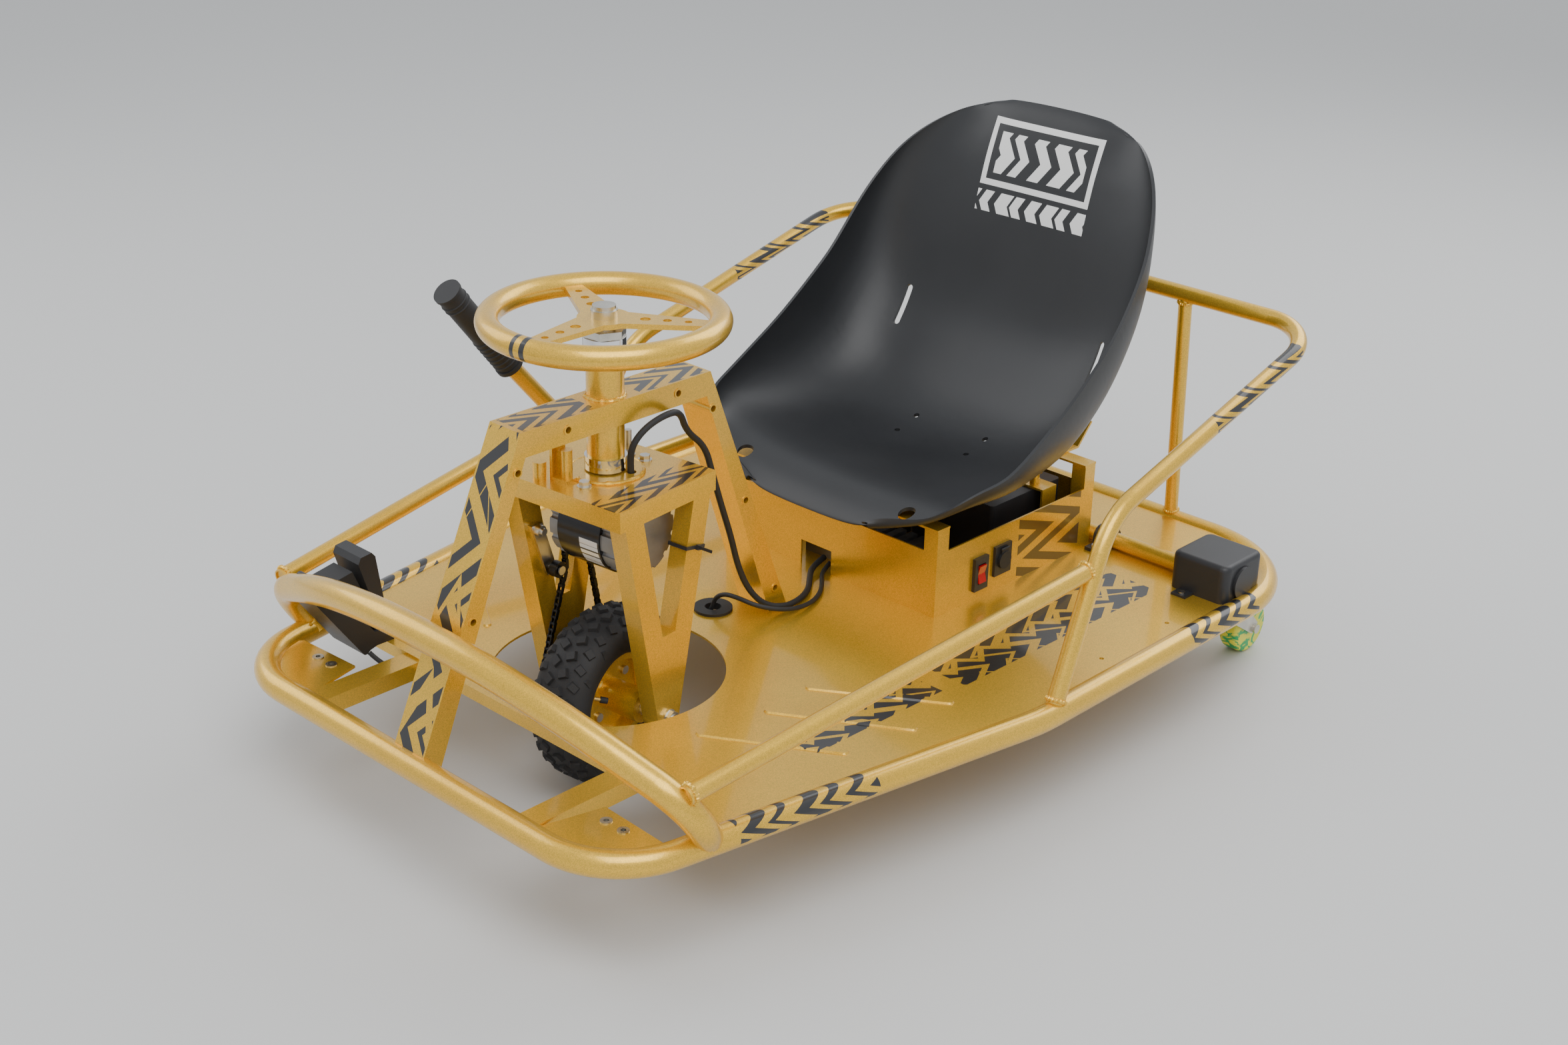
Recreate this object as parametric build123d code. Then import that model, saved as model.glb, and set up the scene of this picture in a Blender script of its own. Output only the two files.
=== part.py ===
from build123d import *
import math
import os

os.makedirs("parts", exist_ok=True)

# Electric drift kart. Millimetres, +Z up, nose towards -Y, driver's left at +X.
# The origin is on the ground, below the middle of the kart.

# ---- driving dimensions: frame ----
half_width = 434.0          # straight side of the base rail, tube centre
half_length = 593.5         # front and rear tubes of the base rail, tube centre
nose_half_width = 327.0     # where the front bar meets the slanted sides
side_bend_y = -7.0          # where the sides become straight
base_z = 135.0              # base rail tube centre
base_tube = 31.8
hoop_tube = 35.0
rail_tube = 22.2
strut_tube = 19.0
tube_wall = 2.0
nose_radius = 105.0
tail_radius = 160.0

# ---- driving dimensions: floor ----
floor_top = 144.0
floor_thick = 3.0
floor_front_y = -441.0
floor_lip = 16.0
wheel_hole_r = 142.0

# ---- driving dimensions: steering ----
steer_y = -292.5            # steering axis
steer_angle = 5.8           # the front wheel stands slightly turned
arch_width = 52.0
arch_depth = 30.0
arch_top = 496.0
head_tube_od = 44.0
head_tube_id = 36.0
steerer_od = 25.4
wheel_plane_z = 587.0
wheel_ring_r = 131.0
wheel_ring_tube = 28.0

# ---- driving dimensions: fork and front wheel ----
plate_top = 403.0
plate_half_w = 96.0
plate_half_l = 83.0
plate_frame = 25.0
axle_z = 111.5
axle_d = 12.0
tyre_r = 111.5
tyre_half_w = 40.0
rim_r = 57.0
hub_d = 40.0
motor_z = 338.0
motor_d = 104.0
chain_x = -57.0
chain_w = 7.0
chain_h = 6.0
big_sprocket_r = 61.0
small_sprocket_r = 14.0

# ---- driving dimensions: seat box and seat ----
box_half = 186.0
box_front = 94.5
box_rear = 424.0
box_top = 232.0
post = 22.0
post_top = 263.0
panel = 2.5
seat_wall = 4.5

# ---- driving dimensions: drift axle ----
shaft_y = 438.5
shaft_z = 156.0
caster_x = 358.0
caster_r = 37.0
caster_w = 30.0
lean = 30.0                 # kingpin lean at rest
lever_x = -300.0

# ---- clearances ----
gap = 0.3                   # between different bodies
running = 0.05              # radial clearance of a shaft in its bore

floor_under = floor_top - floor_thick
shaft_d = rail_tube


def tube(points, radii, od, wall=tube_wall):
    """Bent round tube along a polyline with the given bend radii."""
    if radii:
        path = FilletPolyline(*points, radius=radii)
    else:
        path = Polyline(*points)
    place = Plane(origin=path @ 0, z_dir=path % 0)
    ring = Circle(od / 2) if wall is None else Circle(od / 2) - Circle(od / 2 - wall)
    return sweep(place * ring, path=path)


def rod(start, end, d, bore=0.0):
    """Straight round bar or pipe between two points."""
    a = Vector(*start)
    b = Vector(*end)
    ring = Circle(d / 2) if bore == 0 else Circle(d / 2) - Circle(bore / 2)
    return extrude(Plane(origin=a, z_dir=b - a) * ring, (b - a).length)


def block(x0, x1, y0, y1, z0, z1):
    """Plain box between its low and high corners."""
    size = (x1 - x0, y1 - y0, z1 - z0)
    return Pos((x0 + x1) / 2, (y0 + y1) / 2, (z0 + z1) / 2) * Box(*size)


def side_plate(outline, x0, x1):
    """Outline in (y, z), extruded along X from x0 to x1."""
    face = make_face(Polyline(*[(y, z) for y, z in outline], close=True))
    plane = Plane(origin=(x0, 0, 0), x_dir=(0, 1, 0), z_dir=(1, 0, 0))
    return extrude(plane * face, x1 - x0)


def both_sides(shape):
    """The shape and its mirror image on the other side of the kart."""
    return [shape, mirror(shape, about=Plane.YZ)]


def write(name, shapes):
    """One STEP file for a node, made of one or more separate solids."""
    solids = []
    for shape in (shapes if isinstance(shapes, list) else [shapes]):
        solids += shape.solids()
    export_step(Compound(children=solids), f"parts/{name}.step")


def cord_radii(name, points):
    """Arc radii of a cord: as large as the two runs at each point allow."""
    radii = []
    for before, here, after in zip(points, points[1:], points[2:]):
        a = Vector(*here) - Vector(*before)
        b = Vector(*after) - Vector(*here)
        turn = math.radians(a.get_angle(b))
        radii.append(0.45 * min(a.length, b.length) / math.tan(turn / 2))
    print(name, "arc radii", [round(r, 1) for r in radii])
    return radii


# ======================= frame =======================
half_loop = [
    (0, -half_length, base_z),
    (nose_half_width, -half_length, base_z),
    (half_width, side_bend_y, base_z),
    (half_width, half_length, base_z),
    (0, half_length, base_z),
]
loop_radii = [nose_radius, 300.0, tail_radius]
half_rail = tube(half_loop, loop_radii, base_tube)
half_core = tube(half_loop, loop_radii, base_tube, None)
base_rail = half_rail + mirror(half_rail, about=Plane.YZ)
base_core = half_core + mirror(half_core, about=Plane.YZ)
write("base_rail", base_rail)

# Rectangular bars between the front tube and the floor.
bar_x = 190.0
bar_w = 31.0
bar_top = floor_under
bar_h = 22.0
front_bar = block(bar_x - bar_w / 2, bar_x + bar_w / 2, -half_length, floor_front_y + 40,
                  bar_top - bar_h, bar_top)
front_bar -= block(bar_x - bar_w / 2 + 2, bar_x + bar_w / 2 - 2, -half_length,
                   floor_front_y + 40, bar_top - bar_h + 2, bar_top - 2)
front_bar -= base_core
write("front_bars", both_sides(front_bar))

# Gusset plates in the front corners, each with two nut holes.
gusset_z = base_z
nut_d = 10.0
nut_places = [(247, -519), (274, -519)]
gusset = extrude(Pos(0, 0, gusset_z) * make_face(Polyline(
    (bar_x + bar_w / 2, -575), (225, -500), (322, -505), (352, -540), (300, -590), close=True)), 3)
gusset -= base_core
gusset -= block(bar_x - bar_w / 2, bar_x + bar_w / 2, -640, -400, 100, 160)
gusset = gusset.solids().sort_by(SortBy.VOLUME)[-1]
for x, y in nut_places:
    gusset -= Pos(x, y, gusset_z) * Cylinder(nut_d / 2, 20)
write("corner_gussets", both_sides(gusset))

# Floor plate: fits between the tubes of the base rail.
inset = 9.0
edge = base_tube / 2 - inset + 0.3
floor_outline = [
    (0, floor_front_y),
    (nose_half_width + 27 - edge, floor_front_y),
    (half_width - edge - 2, side_bend_y),
    (half_width - edge - 2, half_length - tail_radius + 30),
    (half_width - 60, half_length - 50),
    (half_width - tail_radius + 30, half_length - edge - 2),
    (0, half_length - edge - 2),
]
half_floor = extrude(Pos(0, 0, floor_under) * make_face(Polyline(*floor_outline, close=True)),
                     floor_thick)
lip_reach = nose_half_width + 24 - edge
half_floor += block(0, lip_reach, floor_front_y, floor_front_y + 2.5,
                    floor_top - floor_lip, floor_top)
half_floor -= block(bar_x - bar_w / 2 - gap, bar_x + bar_w / 2 + gap, floor_front_y - 5,
                    floor_front_y + 10, bar_top - bar_h - 5, bar_top)
# Raised ribs pressed into the front half.
ribs = [((197, -157), (346, -58)), ((203, -233), (357, -137)), ((186, -327), (338, -234))]
for (xa, ya), (xb, yb) in ribs:
    length = math.hypot(xb - xa, yb - ya)
    turn = math.degrees(math.atan2(yb - ya, xb - xa))
    half_floor += Pos((xa + xb) / 2, (ya + yb) / 2, floor_top) * Rot(0, 0, turn) * extrude(
        SlotOverall(length, 12), 2.2, taper=35)
floor = half_floor + mirror(half_floor, about=Plane.YZ)
floor -= Pos(0, steer_y, floor_top) * Cylinder(wheel_hole_r, 40)
grommet_x = -28.0
grommet_y = -88.0
grommet_d = 36.0
floor -= Pos(grommet_x, grommet_y, floor_top) * Cylinder(grommet_d / 2, 40)
# Slots for the caster arms, hidden by the covers, and small drain holes.
slot_x0 = caster_x - 22
slot_x1 = caster_x + 22
slot_y0 = shaft_y + 4
slot_y1 = shaft_y + 42
for side in (-1, 1):
    x0 = min(side * slot_x0, side * slot_x1)
    floor -= block(x0, x0 + slot_x1 - slot_x0, slot_y0 - 42, slot_y1, 120, 170)
    for hole_y in (160, 300, 520):
        floor -= Pos(side * 400, hole_y, floor_top) * Cylinder(3, 20)
floor -= base_core
floor = floor.solids().sort_by(SortBy.VOLUME)[-1]

# Front hoop: a flat bent tube that leans back over the nose.
hoop_lean = math.radians(57.0)
hoop_foot = Vector(0, -465.5, base_z)
hoop_up = Vector(0, -math.cos(hoop_lean), math.sin(hoop_lean))


def hoop_point(x, u):
    """Point of the hoop's plane: x across, u up the plane from its feet."""
    p = hoop_foot + hoop_up * u
    return (x, p.Y, p.Z)


hoop_points = [hoop_point(x, u) for x, u in
               [(346, 0), (378, 68), (150, 178), (-150, 178), (-378, 68), (-346, 0)]]
hoop_radii = [60.0, 600.0, 600.0, 60.0]
front_hoop = tube(hoop_points, hoop_radii, hoop_tube) - base_core
hoop_core = tube(hoop_points, hoop_radii, hoop_tube, None)
front_hoop = front_hoop.solids().sort_by(SortBy.VOLUME)[-1]

# Side and rear hoop: one tube, from the rail up, back and round behind the seat.
rear_half = [
    (0, 574.5, 474),
    (412, 574.5, 474),
    (417, 126.5, 350),
    (433, 17.5, base_z),
]
rear_radii = [75.0, 100.0]
side_hoop = tube(rear_half, rear_radii, rail_tube)
side_core = tube(rear_half, rear_radii, rail_tube, None)
side_hoop = side_hoop - base_core
side_hoop = side_hoop.solids().sort_by(SortBy.VOLUME)[-1]
side_hoop = side_hoop + mirror(side_hoop, about=Plane.YZ)
side_core = side_core + mirror(side_core, about=Plane.YZ)

# Upper side rails, from the hoop's corners back to the side hoop.
rail_front = (358, -508.5, 212)
rail_back = (418, 98, 293)
side_rail = rod(rail_front, rail_back, rail_tube, rail_tube - 2 * tube_wall)
side_rail = side_rail - hoop_core - side_core
side_rail = side_rail.solids().sort_by(SortBy.VOLUME)[-1]
write("side_rails", both_sides(side_rail))

# Two struts between the rear tube and the top of the hoop.
strut = rod((205, half_length, base_z), (205, 574.5, 474), strut_tube, strut_tube - 2 * tube_wall)
strut = (strut - base_core - side_core).solids().sort_by(SortBy.VOLUME)[-1]
write("rear_struts", both_sides(strut))
write("side_hoop", side_hoop)

# ======================= steering arch =======================
arch_outer = [(-596, 137), (-439.5, arch_top), (-149.5, arch_top), (-9.5, floor_top)]
front_dir = Vector(0, arch_outer[1][0] - arch_outer[0][0], arch_outer[1][1] - arch_outer[0][1])
rear_dir = Vector(0, arch_outer[3][0] - arch_outer[2][0], arch_outer[3][1] - arch_outer[2][1])


def arch_ring(inset_by):
    """Closed outline of the arch bar, both faces moved inwards by a distance."""
    f = front_dir.normalized()
    r = rear_dir.normalized()

    def corner(depth):
        z = arch_top - depth
        front_y = arch_outer[1][0] + depth * (1 - f.Z) / f.Y
        rear_y = arch_outer[2][0] - depth * (1 + r.Z) / r.Y
        return front_y, rear_y, z

    def foot(depth, z):
        front_y = arch_outer[1][0] + (z - arch_top) * f.Y / f.Z + depth / f.Z
        rear_y = arch_outer[2][0] + (z - arch_top) * r.Y / r.Z + depth / r.Z
        return front_y, rear_y

    outer = inset_by
    inner = arch_depth - inset_by
    of_y, or_y, o_z = corner(outer)
    if_y, ir_y, i_z = corner(inner)
    low_f = 120.0
    low_r = floor_top
    return [
        (foot(outer, low_f)[0], low_f), (of_y, o_z), (or_y, o_z),
        (foot(outer, low_r)[1], low_r), (foot(inner, low_r)[1], low_r),
        (ir_y, i_z), (if_y, i_z), (foot(inner, low_f)[0], low_f),
    ]


arch = side_plate(arch_ring(0.0), -arch_width / 2, arch_width / 2)
arch -= side_plate(arch_ring(2.0), -arch_width / 2 + 2, arch_width / 2 - 2)
arch_core = side_plate(arch_ring(0.0), -arch_width / 2, arch_width / 2)
arch -= Pos(0, steer_y, arch_top) * Cylinder(head_tube_od / 2, 100)
sleeve_d = 12.0
sleeves = [(-445, 451), (-371.5, 482), (-202.5, 482), (-145.5, 448), (-87.5, 312), (-514.5, 293),
           (-31.5, 174)]
arch_sleeves = []
for y, z in sleeves:
    arch -= rod((-50, y, z), (50, y, z), sleeve_d)
    arch_sleeves.append(rod((-arch_width / 2 - 1, y, z), (arch_width / 2 + 1, y, z), sleeve_d, 8.0))
arch -= base_core
arch = arch.solids().sort_by(SortBy.VOLUME)[-1]
write("steering_arch", arch)
write("arch_sleeves", arch_sleeves)
write("base_rail", base_rail)
front_hoop = (front_hoop - arch_core).solids()
write("front_hoop", list(front_hoop))

# ======================= headset =======================
lower_cup_z = 408.0
cup_h = 16.0
head_top = 556.0
head_tube = rod((0, steer_y, lower_cup_z + cup_h), (0, steer_y, head_top), head_tube_od,
                head_tube_id)
write("head_tube", head_tube)
cup_d = 50.0
bearing_od = 42.0
lower_cup = rod((0, steer_y, lower_cup_z), (0, steer_y, lower_cup_z + cup_h), cup_d, bearing_od)
upper_cup = rod((0, steer_y, head_top), (0, steer_y, head_top + 12), cup_d, bearing_od)
lower_race = rod((0, steer_y, lower_cup_z + 2), (0, steer_y, lower_cup_z + cup_h), bearing_od,
                 steerer_od + 2 * running)
upper_race = rod((0, steer_y, head_top), (0, steer_y, head_top + 10), bearing_od,
                 steerer_od + 2 * running)
write("headset", [lower_cup, upper_cup, lower_race, upper_race])

# ======================= fork, in its own straight-ahead frame =======================
turned = Pos(0, steer_y, 0) * Rot(0, 0, steer_angle)


def fork(shape):
    """Place a shape, drawn about the steering axis, at the fork's rest angle."""
    if isinstance(shape, list):
        return [turned * s for s in shape]
    return turned * shape


steerer_top = wheel_plane_z + 12
steerer = rod((0, 0, plate_top), (0, 0, steerer_top), steerer_od, 17.0)
write("steerer_tube", fork(steerer))

frame_low = plate_top - plate_frame
fork_plate = block(-plate_half_w, plate_half_w, -plate_half_l, plate_half_l, frame_low, plate_top)
fork_plate -= block(-plate_half_w + plate_frame, plate_half_w - plate_frame,
                    -plate_half_l + plate_frame, plate_half_l - plate_frame,
                    frame_low - 1, plate_top - 3)
weld_ring_h = 3.0
weld_ring_d = 88.0
fork_plate += rod((0, 0, plate_top), (0, 0, plate_top + weld_ring_h), weld_ring_d, steerer_od)
cable_hole = (30.0, 10.0)
fork_plate -= Pos(cable_hole[0], cable_hole[1], plate_top) * Cylinder(6, 30)
bolt_places = [(14, 52), (14, -52), (-12, 52)]
bolt_d = 8.0
for x, y in bolt_places:
    fork_plate -= Pos(x, y, plate_top) * Cylinder(bolt_d / 2, 30)
write("fork_plate", fork(fork_plate))

leg_w = 25.0
leg_low = axle_z
leg_out_top = 74.0
leg_out_low = 19.0
leg_bar = 30.0
slope = (leg_out_top - leg_out_low) / (frame_low - leg_low)
bar_flat = leg_bar * math.sqrt(1 + slope ** 2)
notch_z = 222.0
notch_y = leg_out_low + slope * (notch_z - leg_low) - bar_flat
leg_outline = [
    (-leg_out_top, frame_low), (-leg_out_low, leg_low), (leg_out_low, leg_low),
    (leg_out_top, frame_low), (leg_out_top - bar_flat, frame_low), (notch_y, notch_z),
    (-notch_y, notch_z), (-leg_out_top + bar_flat, frame_low),
]
legs = []
for side in (-1, 1):
    x0 = side * plate_half_w if side < 0 else plate_half_w - leg_w
    leg = side_plate(leg_outline, x0, x0 + leg_w)
    leg += rod((x0, 0, axle_z), (x0 + leg_w, 0, axle_z), 2 * leg_out_low)
    leg -= rod((x0 - 5, 0, axle_z), (x0 + leg_w + 5, 0, axle_z), axle_d)
    inner_bar = [(-leg_out_top + 3, frame_low - 3), (-leg_out_low + 1, notch_z - 60),
                 (-leg_out_low + 5, notch_z - 60), (-leg_out_top + bar_flat - 3, frame_low - 3)]
    for flip in (-1, 1):
        pocket = [(flip * y, z) for y, z in inner_bar]
        leg -= side_plate(pocket, x0 + 2.5, x0 + leg_w - 2.5)
    legs.append(leg)
write("fork_legs", fork(legs))

# Bolts that hang the motor from the plate, and a tall stud.
hex_h = 5.5
foot_top = plate_top - 3
bolts = []
for x, y in bolt_places:
    bolt = rod((x, y, foot_top - 11), (x, y, plate_top), bolt_d)
    flange = rod((x, y, plate_top), (x, y, plate_top + 1.6), 17)
    head = extrude(Pos(x, y, plate_top + 1.6) * RegularPolygon(6.5, 6), hex_h)
    bolts.append(bolt + flange + head)
for x, y in [(-12, 52)]:
    bolts[-1] += rod((x, y, plate_top), (x, y, plate_top + 32), bolt_d)
write("plate_bolts", fork(bolts))

stop_h = 46.0
stop = block(-30, -4, -62, -40, plate_top, plate_top + 4)
stop += block(-30, -26, -62, -40, plate_top, plate_top + stop_h)
stop += rod((-14, -51, plate_top), (-14, -51, plate_top + stop_h - 8), 14)
stop += rod((-40, -68, plate_top), (-40, -68, plate_top + 22), 16)
stop -= rod((0, 0, plate_top - 1), (0, 0, plate_top + weld_ring_h + 0.1), weld_ring_d + 0.2)
write("stop_bracket", fork(list(stop.solids())))

# Motor: case with a foot block up to the plate, two ribbed end bells.
case_x0 = -30.0
case_x1 = 35.0
foot_half = plate_half_l - plate_frame - 0.5
case = rod((case_x0, 0, motor_z), (case_x1, 0, motor_z), motor_d)
case += block(-24, 26, -foot_half, foot_half, foot_top - 12, foot_top)
case += block(-24, 26, -22, 22, motor_z + 40, foot_top)
shaft_bore = 12.0
case -= rod((case_x0, 0, motor_z), (-20, 0, motor_z), shaft_bore)
for x, y in bolt_places:
    case -= Pos(x, y, foot_top) * Cylinder(bolt_d / 2, 40)
write("motor_case", fork(case))
bell_d = motor_d - 4
bells = []
for x0, x1 in ((-44.0, case_x0), (case_x1, 60.0)):
    bell = rod((x0, 0, motor_z), (x1, 0, motor_z), bell_d)
    for k in range(12):
        angle = math.radians(30 * k + 15)
        y = (bell_d / 2) * math.cos(angle)
        z = motor_z + (bell_d / 2) * math.sin(angle)
        bell -= rod((x0 - 5, y, z), (x1 + 5, y, z), 7)
    if x0 < 0:
        bell -= rod((x0 - 5, 0, motor_z), (x1 + 5, 0, motor_z), shaft_bore)
    bells.append(bell)
write("motor_bells", fork(bells))

sprocket_w = 3.0
shaft_run = shaft_bore / 2 - running
pinion = rod((chain_x - sprocket_w / 2, 0, motor_z), (chain_x + sprocket_w / 2, 0, motor_z),
             2 * (small_sprocket_r - chain_h / 2 - gap))
pinion += rod((chain_x - 6, 0, motor_z), (-20 - gap, 0, motor_z), 2 * shaft_run)
pinion += rod((-50, 0, motor_z), (-44.3, 0, motor_z), 20)
write("motor_sprocket", fork(pinion))


# Chain: a band round both sprockets, pressed back by the tension roller.
roller_y = -25.0
roller_z = 268.0
roller_r = 10.0
roller_pitch = roller_r + chain_h / 2 + gap


def belt(offset):
    """Closed outline of the chain at a distance from its pitch line, in (y, z)."""
    stops = [
        (Vector(0, axle_z), big_sprocket_r + offset),
        (Vector(0, motor_z), small_sprocket_r + offset),
        (Vector(roller_y, roller_z), -roller_pitch + offset),
    ]
    touch = []
    for i in range(3):
        c1, r1 = stops[i]
        c2, r2 = stops[(i + 1) % 3]
        d = c2 - c1
        theta = math.atan2(d.Y, d.X) + math.acos((r2 - r1) / d.length)
        left = Vector(math.cos(theta), math.sin(theta))
        touch.append((c1 - left * r1, c2 - left * r2))
    edges = []
    for i in range(3):
        c, r = stops[i]
        arrive = touch[i - 1][1]
        leave = touch[i][0]
        if i == 0:
            middle = c + Vector(0, -1) * r
        elif i == 1:
            middle = c + Vector(0, 1) * r
        else:
            middle = c + ((arrive + leave) * 0.5 - c).normalized() * abs(r)
        edges.append(ThreePointArc(arrive, middle, leave))
        edges.append(Line(touch[i][0], touch[i][1]))
    return make_face(edges)


chain_plane = Plane(origin=(chain_x - chain_w / 2, 0, 0), x_dir=(0, 1, 0), z_dir=(1, 0, 0))
chain = extrude(chain_plane * (belt(chain_h / 2) - belt(-chain_h / 2)), chain_w)
write("drive_chain", fork(chain))

arm_x = -plate_half_w + leg_w
arm_t = 4.0
pivot = (-47.0, 324.0)
arm_outline = [(pivot[0] - 9, pivot[1] + 6), (pivot[0] + 9, pivot[1] + 6),
               (roller_y + 9, roller_z - 2), (roller_y + 6, roller_z - 9),
               (roller_y - 6, roller_z - 9), (roller_y - 9, roller_z - 2)]
tension_arm = side_plate(arm_outline, arm_x, arm_x + arm_t)
pin_d = 6.0
tension_arm += rod((arm_x + arm_t, roller_y, roller_z), (chain_x + 6, roller_y, roller_z), pin_d)
tension_arm += rod((chain_x + 6, roller_y, roller_z), (chain_x + 8, roller_y, roller_z), 11)
tension_arm += rod((arm_x + arm_t, *pivot), (arm_x + arm_t + 8, *pivot), 14)
tension_arm += rod((arm_x + arm_t + 8, *pivot), (arm_x + arm_t + 12, *pivot), 9)
write("chain_tensioner", fork(tension_arm))
roller = rod((chain_x - 5, roller_y, roller_z), (chain_x + 5, roller_y, roller_z), 2 * roller_r,
             pin_d + 2 * running)
write("tension_roller", fork(roller))

# Axle across the fork, with spacers and nuts.
hub_x1 = 57.0
hub_x0 = -54.0
spacer_d = 20.0
axle_end = plate_half_w + 9
axle = rod((-axle_end, 0, axle_z), (axle_end, 0, axle_z), axle_d)
axle += rod((-plate_half_w + leg_w, 0, axle_z), (chain_x - 4, 0, axle_z), spacer_d)
axle += rod((hub_x1 + gap, 0, axle_z), (plate_half_w - leg_w, 0, axle_z), spacer_d)
write("fork_axle", fork(axle))
nuts = []
for side in (-1, 1):
    x = side * plate_half_w
    washer = rod((x, 0, axle_z), (x + side * 1.5, 0, axle_z), 21, axle_d)
    nut_plane = Plane(origin=(x + side * 1.5, 0, axle_z), z_dir=(side, 0, 0))
    nut = extrude(nut_plane * (RegularPolygon(10, 6) - Circle(axle_d / 2)), 6)
    nuts += [washer, nut]
locknut = extrude(Pos(0, 0, head_top + 12 + gap) * (RegularPolygon(26, 6) - Circle(steerer_od / 2)), 9)
hub_low = wheel_plane_z - 3
dome = rod((0, 0, wheel_plane_z + 3), (0, 0, steerer_top), 31, steerer_od)
dome += rod((0, 0, steerer_top), (0, 0, steerer_top + 5), 27)
write("fork_nuts", fork(nuts + [locknut, dome]))

# Steering wheel: round tube ring on a flat three-spoke spider.
wheel_ring = Pos(0, 0, wheel_plane_z) * Torus(wheel_ring_r, wheel_ring_tube / 2)
spider_t = 6.0
spoke_reach = wheel_ring_r - wheel_ring_tube / 2 + 3
spider = rod((0, 0, hub_low), (0, 0, hub_low + spider_t), 62)
for angle in (30, 150, 270):
    spoke = make_face(Polyline((0, -23), (spoke_reach, -10.5), (spoke_reach, 10.5), (0, 23),
                               close=True))
    for x, d in ((47, 12), (72, 10), (96, 8.5)):
        spoke -= Pos(x, 0) * Circle(d / 2)
    spider += Pos(0, 0, hub_low) * Rot(0, 0, angle) * extrude(spoke, spider_t)
spider -= rod((0, 0, hub_low - 5), (0, 0, hub_low + 20), steerer_od)
spider -= wheel_ring
write("wheel_spider", fork(spider))
write("steering_wheel", fork(wheel_ring))

# ======================= front wheel =======================
def turned_ring(profile):
    """Profile in (x, r), revolved about the wheel axle."""
    face = make_face(Polyline(*profile, close=True))
    plane = Plane(origin=(0, 0, axle_z), x_dir=(1, 0, 0), z_dir=(0, -1, 0))
    return revolve(plane * face, Axis((0, 0, axle_z), (1, 0, 0)), 360)


hub = rod((hub_x0, 0, axle_z), (hub_x1, 0, axle_z), hub_d)
hub += rod((chain_x - 3.4, 0, axle_z), (hub_x0, 0, axle_z), 30)
hub -= rod((-80, 0, axle_z), (80, 0, axle_z), axle_d + 2 * running)
write("wheel_hub", fork(hub))
web = 3.0
rim_bead = 20.0
half_rim = [(0, hub_d / 2), (web, hub_d / 2), (web, 44), (14, 47), (rim_bead, 49), (rim_bead, rim_r),
            (rim_bead - 3, rim_r), (rim_bead - 3, 52), (13, 50), (0, 47)]
right_rim = turned_ring(half_rim)
left_rim = turned_ring([(-x, r) for x, r in half_rim])
rim_bolts = []
for k in range(4):
    angle = math.radians(45 + 90 * k)
    y = 33 * math.cos(angle)
    z = axle_z + 33 * math.sin(angle)
    hole = rod((-20, y, z), (20, y, z), 6)
    right_rim -= hole
    left_rim -= hole
    bolt = rod((-web - 4, y, z), (web + 2, y, z), 6)
    bolt += rod((web, y, z), (web + 4, y, z), 11)
    bolt += rod((-web - 4, y, z), (-web, y, z), 11)
    rim_bolts.append(bolt)
write("wheel_rim", fork([right_rim, left_rim]))
write("rim_bolts", fork(rim_bolts))

tyre_seat = 52.3
mid_r = (tyre_r + tyre_seat) / 2
half_h = (tyre_r - tyre_seat) / 2
tyre_plane = Plane(origin=(0, 0, axle_z), x_dir=(1, 0, 0), z_dir=(0, -1, 0))
section = Pos(0, mid_r) * Ellipse(tyre_half_w, half_h)
section -= Pos(0, mid_r) * Ellipse(tyre_half_w - 8, half_h - 8)
section -= Pos(0, tyre_seat - 3) * Rectangle(2 * rim_bead + 0.6, 2 * (rim_r - tyre_seat) + 6.6)
tyre = revolve(tyre_plane * section, Axis((0, 0, axle_z), (1, 0, 0)), 360)
tyre = tyre.solids().sort_by(SortBy.VOLUME)[-1]
write("front_tyre", fork(tyre))

sprocket = rod((chain_x - sprocket_w / 2, 0, axle_z), (chain_x + sprocket_w / 2, 0, axle_z),
               2 * (big_sprocket_r - chain_h / 2 - gap), 30)
for k in range(6):
    angle = math.radians(60 * k)
    y = 40 * math.cos(angle)
    z = axle_z + 40 * math.sin(angle)
    sprocket -= rod((chain_x - 5, y, z), (chain_x + 5, y, z), 18)
write("wheel_sprocket", fork(sprocket))

# ======================= seat box =======================
front_panel = block(-box_half + post, box_half - post, box_front, box_front + panel, floor_top,
                    box_top)
notch_x0 = -46.0
notch_x1 = 8.0
front_panel -= block(notch_x0, notch_x1, box_front - 5, box_front + 10, floor_top - 1,
                     floor_top + 34)
rear_panel = block(-box_half + post, box_half - post, box_rear - panel, box_rear, floor_top,
                   box_top)
side_panel = block(box_half - panel, box_half, box_front + post, box_rear - post, floor_top,
                   box_top)
switch_y = 182.0
switch_z = 180.0
port_y = 227.0
port_z = 186.0
cut_w = 22.0
cut_h = 30.0
cut_panel = side_panel - block(box_half - 10, box_half + 10, switch_y - cut_w / 2,
                               switch_y + cut_w / 2, switch_z - cut_h / 2, switch_z + cut_h / 2)
port_d = 26.0
cut_panel -= rod((box_half - 10, port_y, port_z), (box_half + 10, port_y, port_z), port_d)
write("box_panels", [front_panel, rear_panel, cut_panel, mirror(side_panel, about=Plane.YZ)])
posts = []
post_wall = 2.0
for x0 in (-box_half, box_half - post):
    for y0 in (box_front, box_rear - post):
        outer_post = block(x0, x0 + post, y0, y0 + post, floor_top, post_top)
        posts.append(outer_post - block(x0 + post_wall, x0 + post - post_wall, y0 + post_wall,
                                        y0 + post - post_wall, floor_top, post_top))
write("corner_posts", posts)

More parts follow.
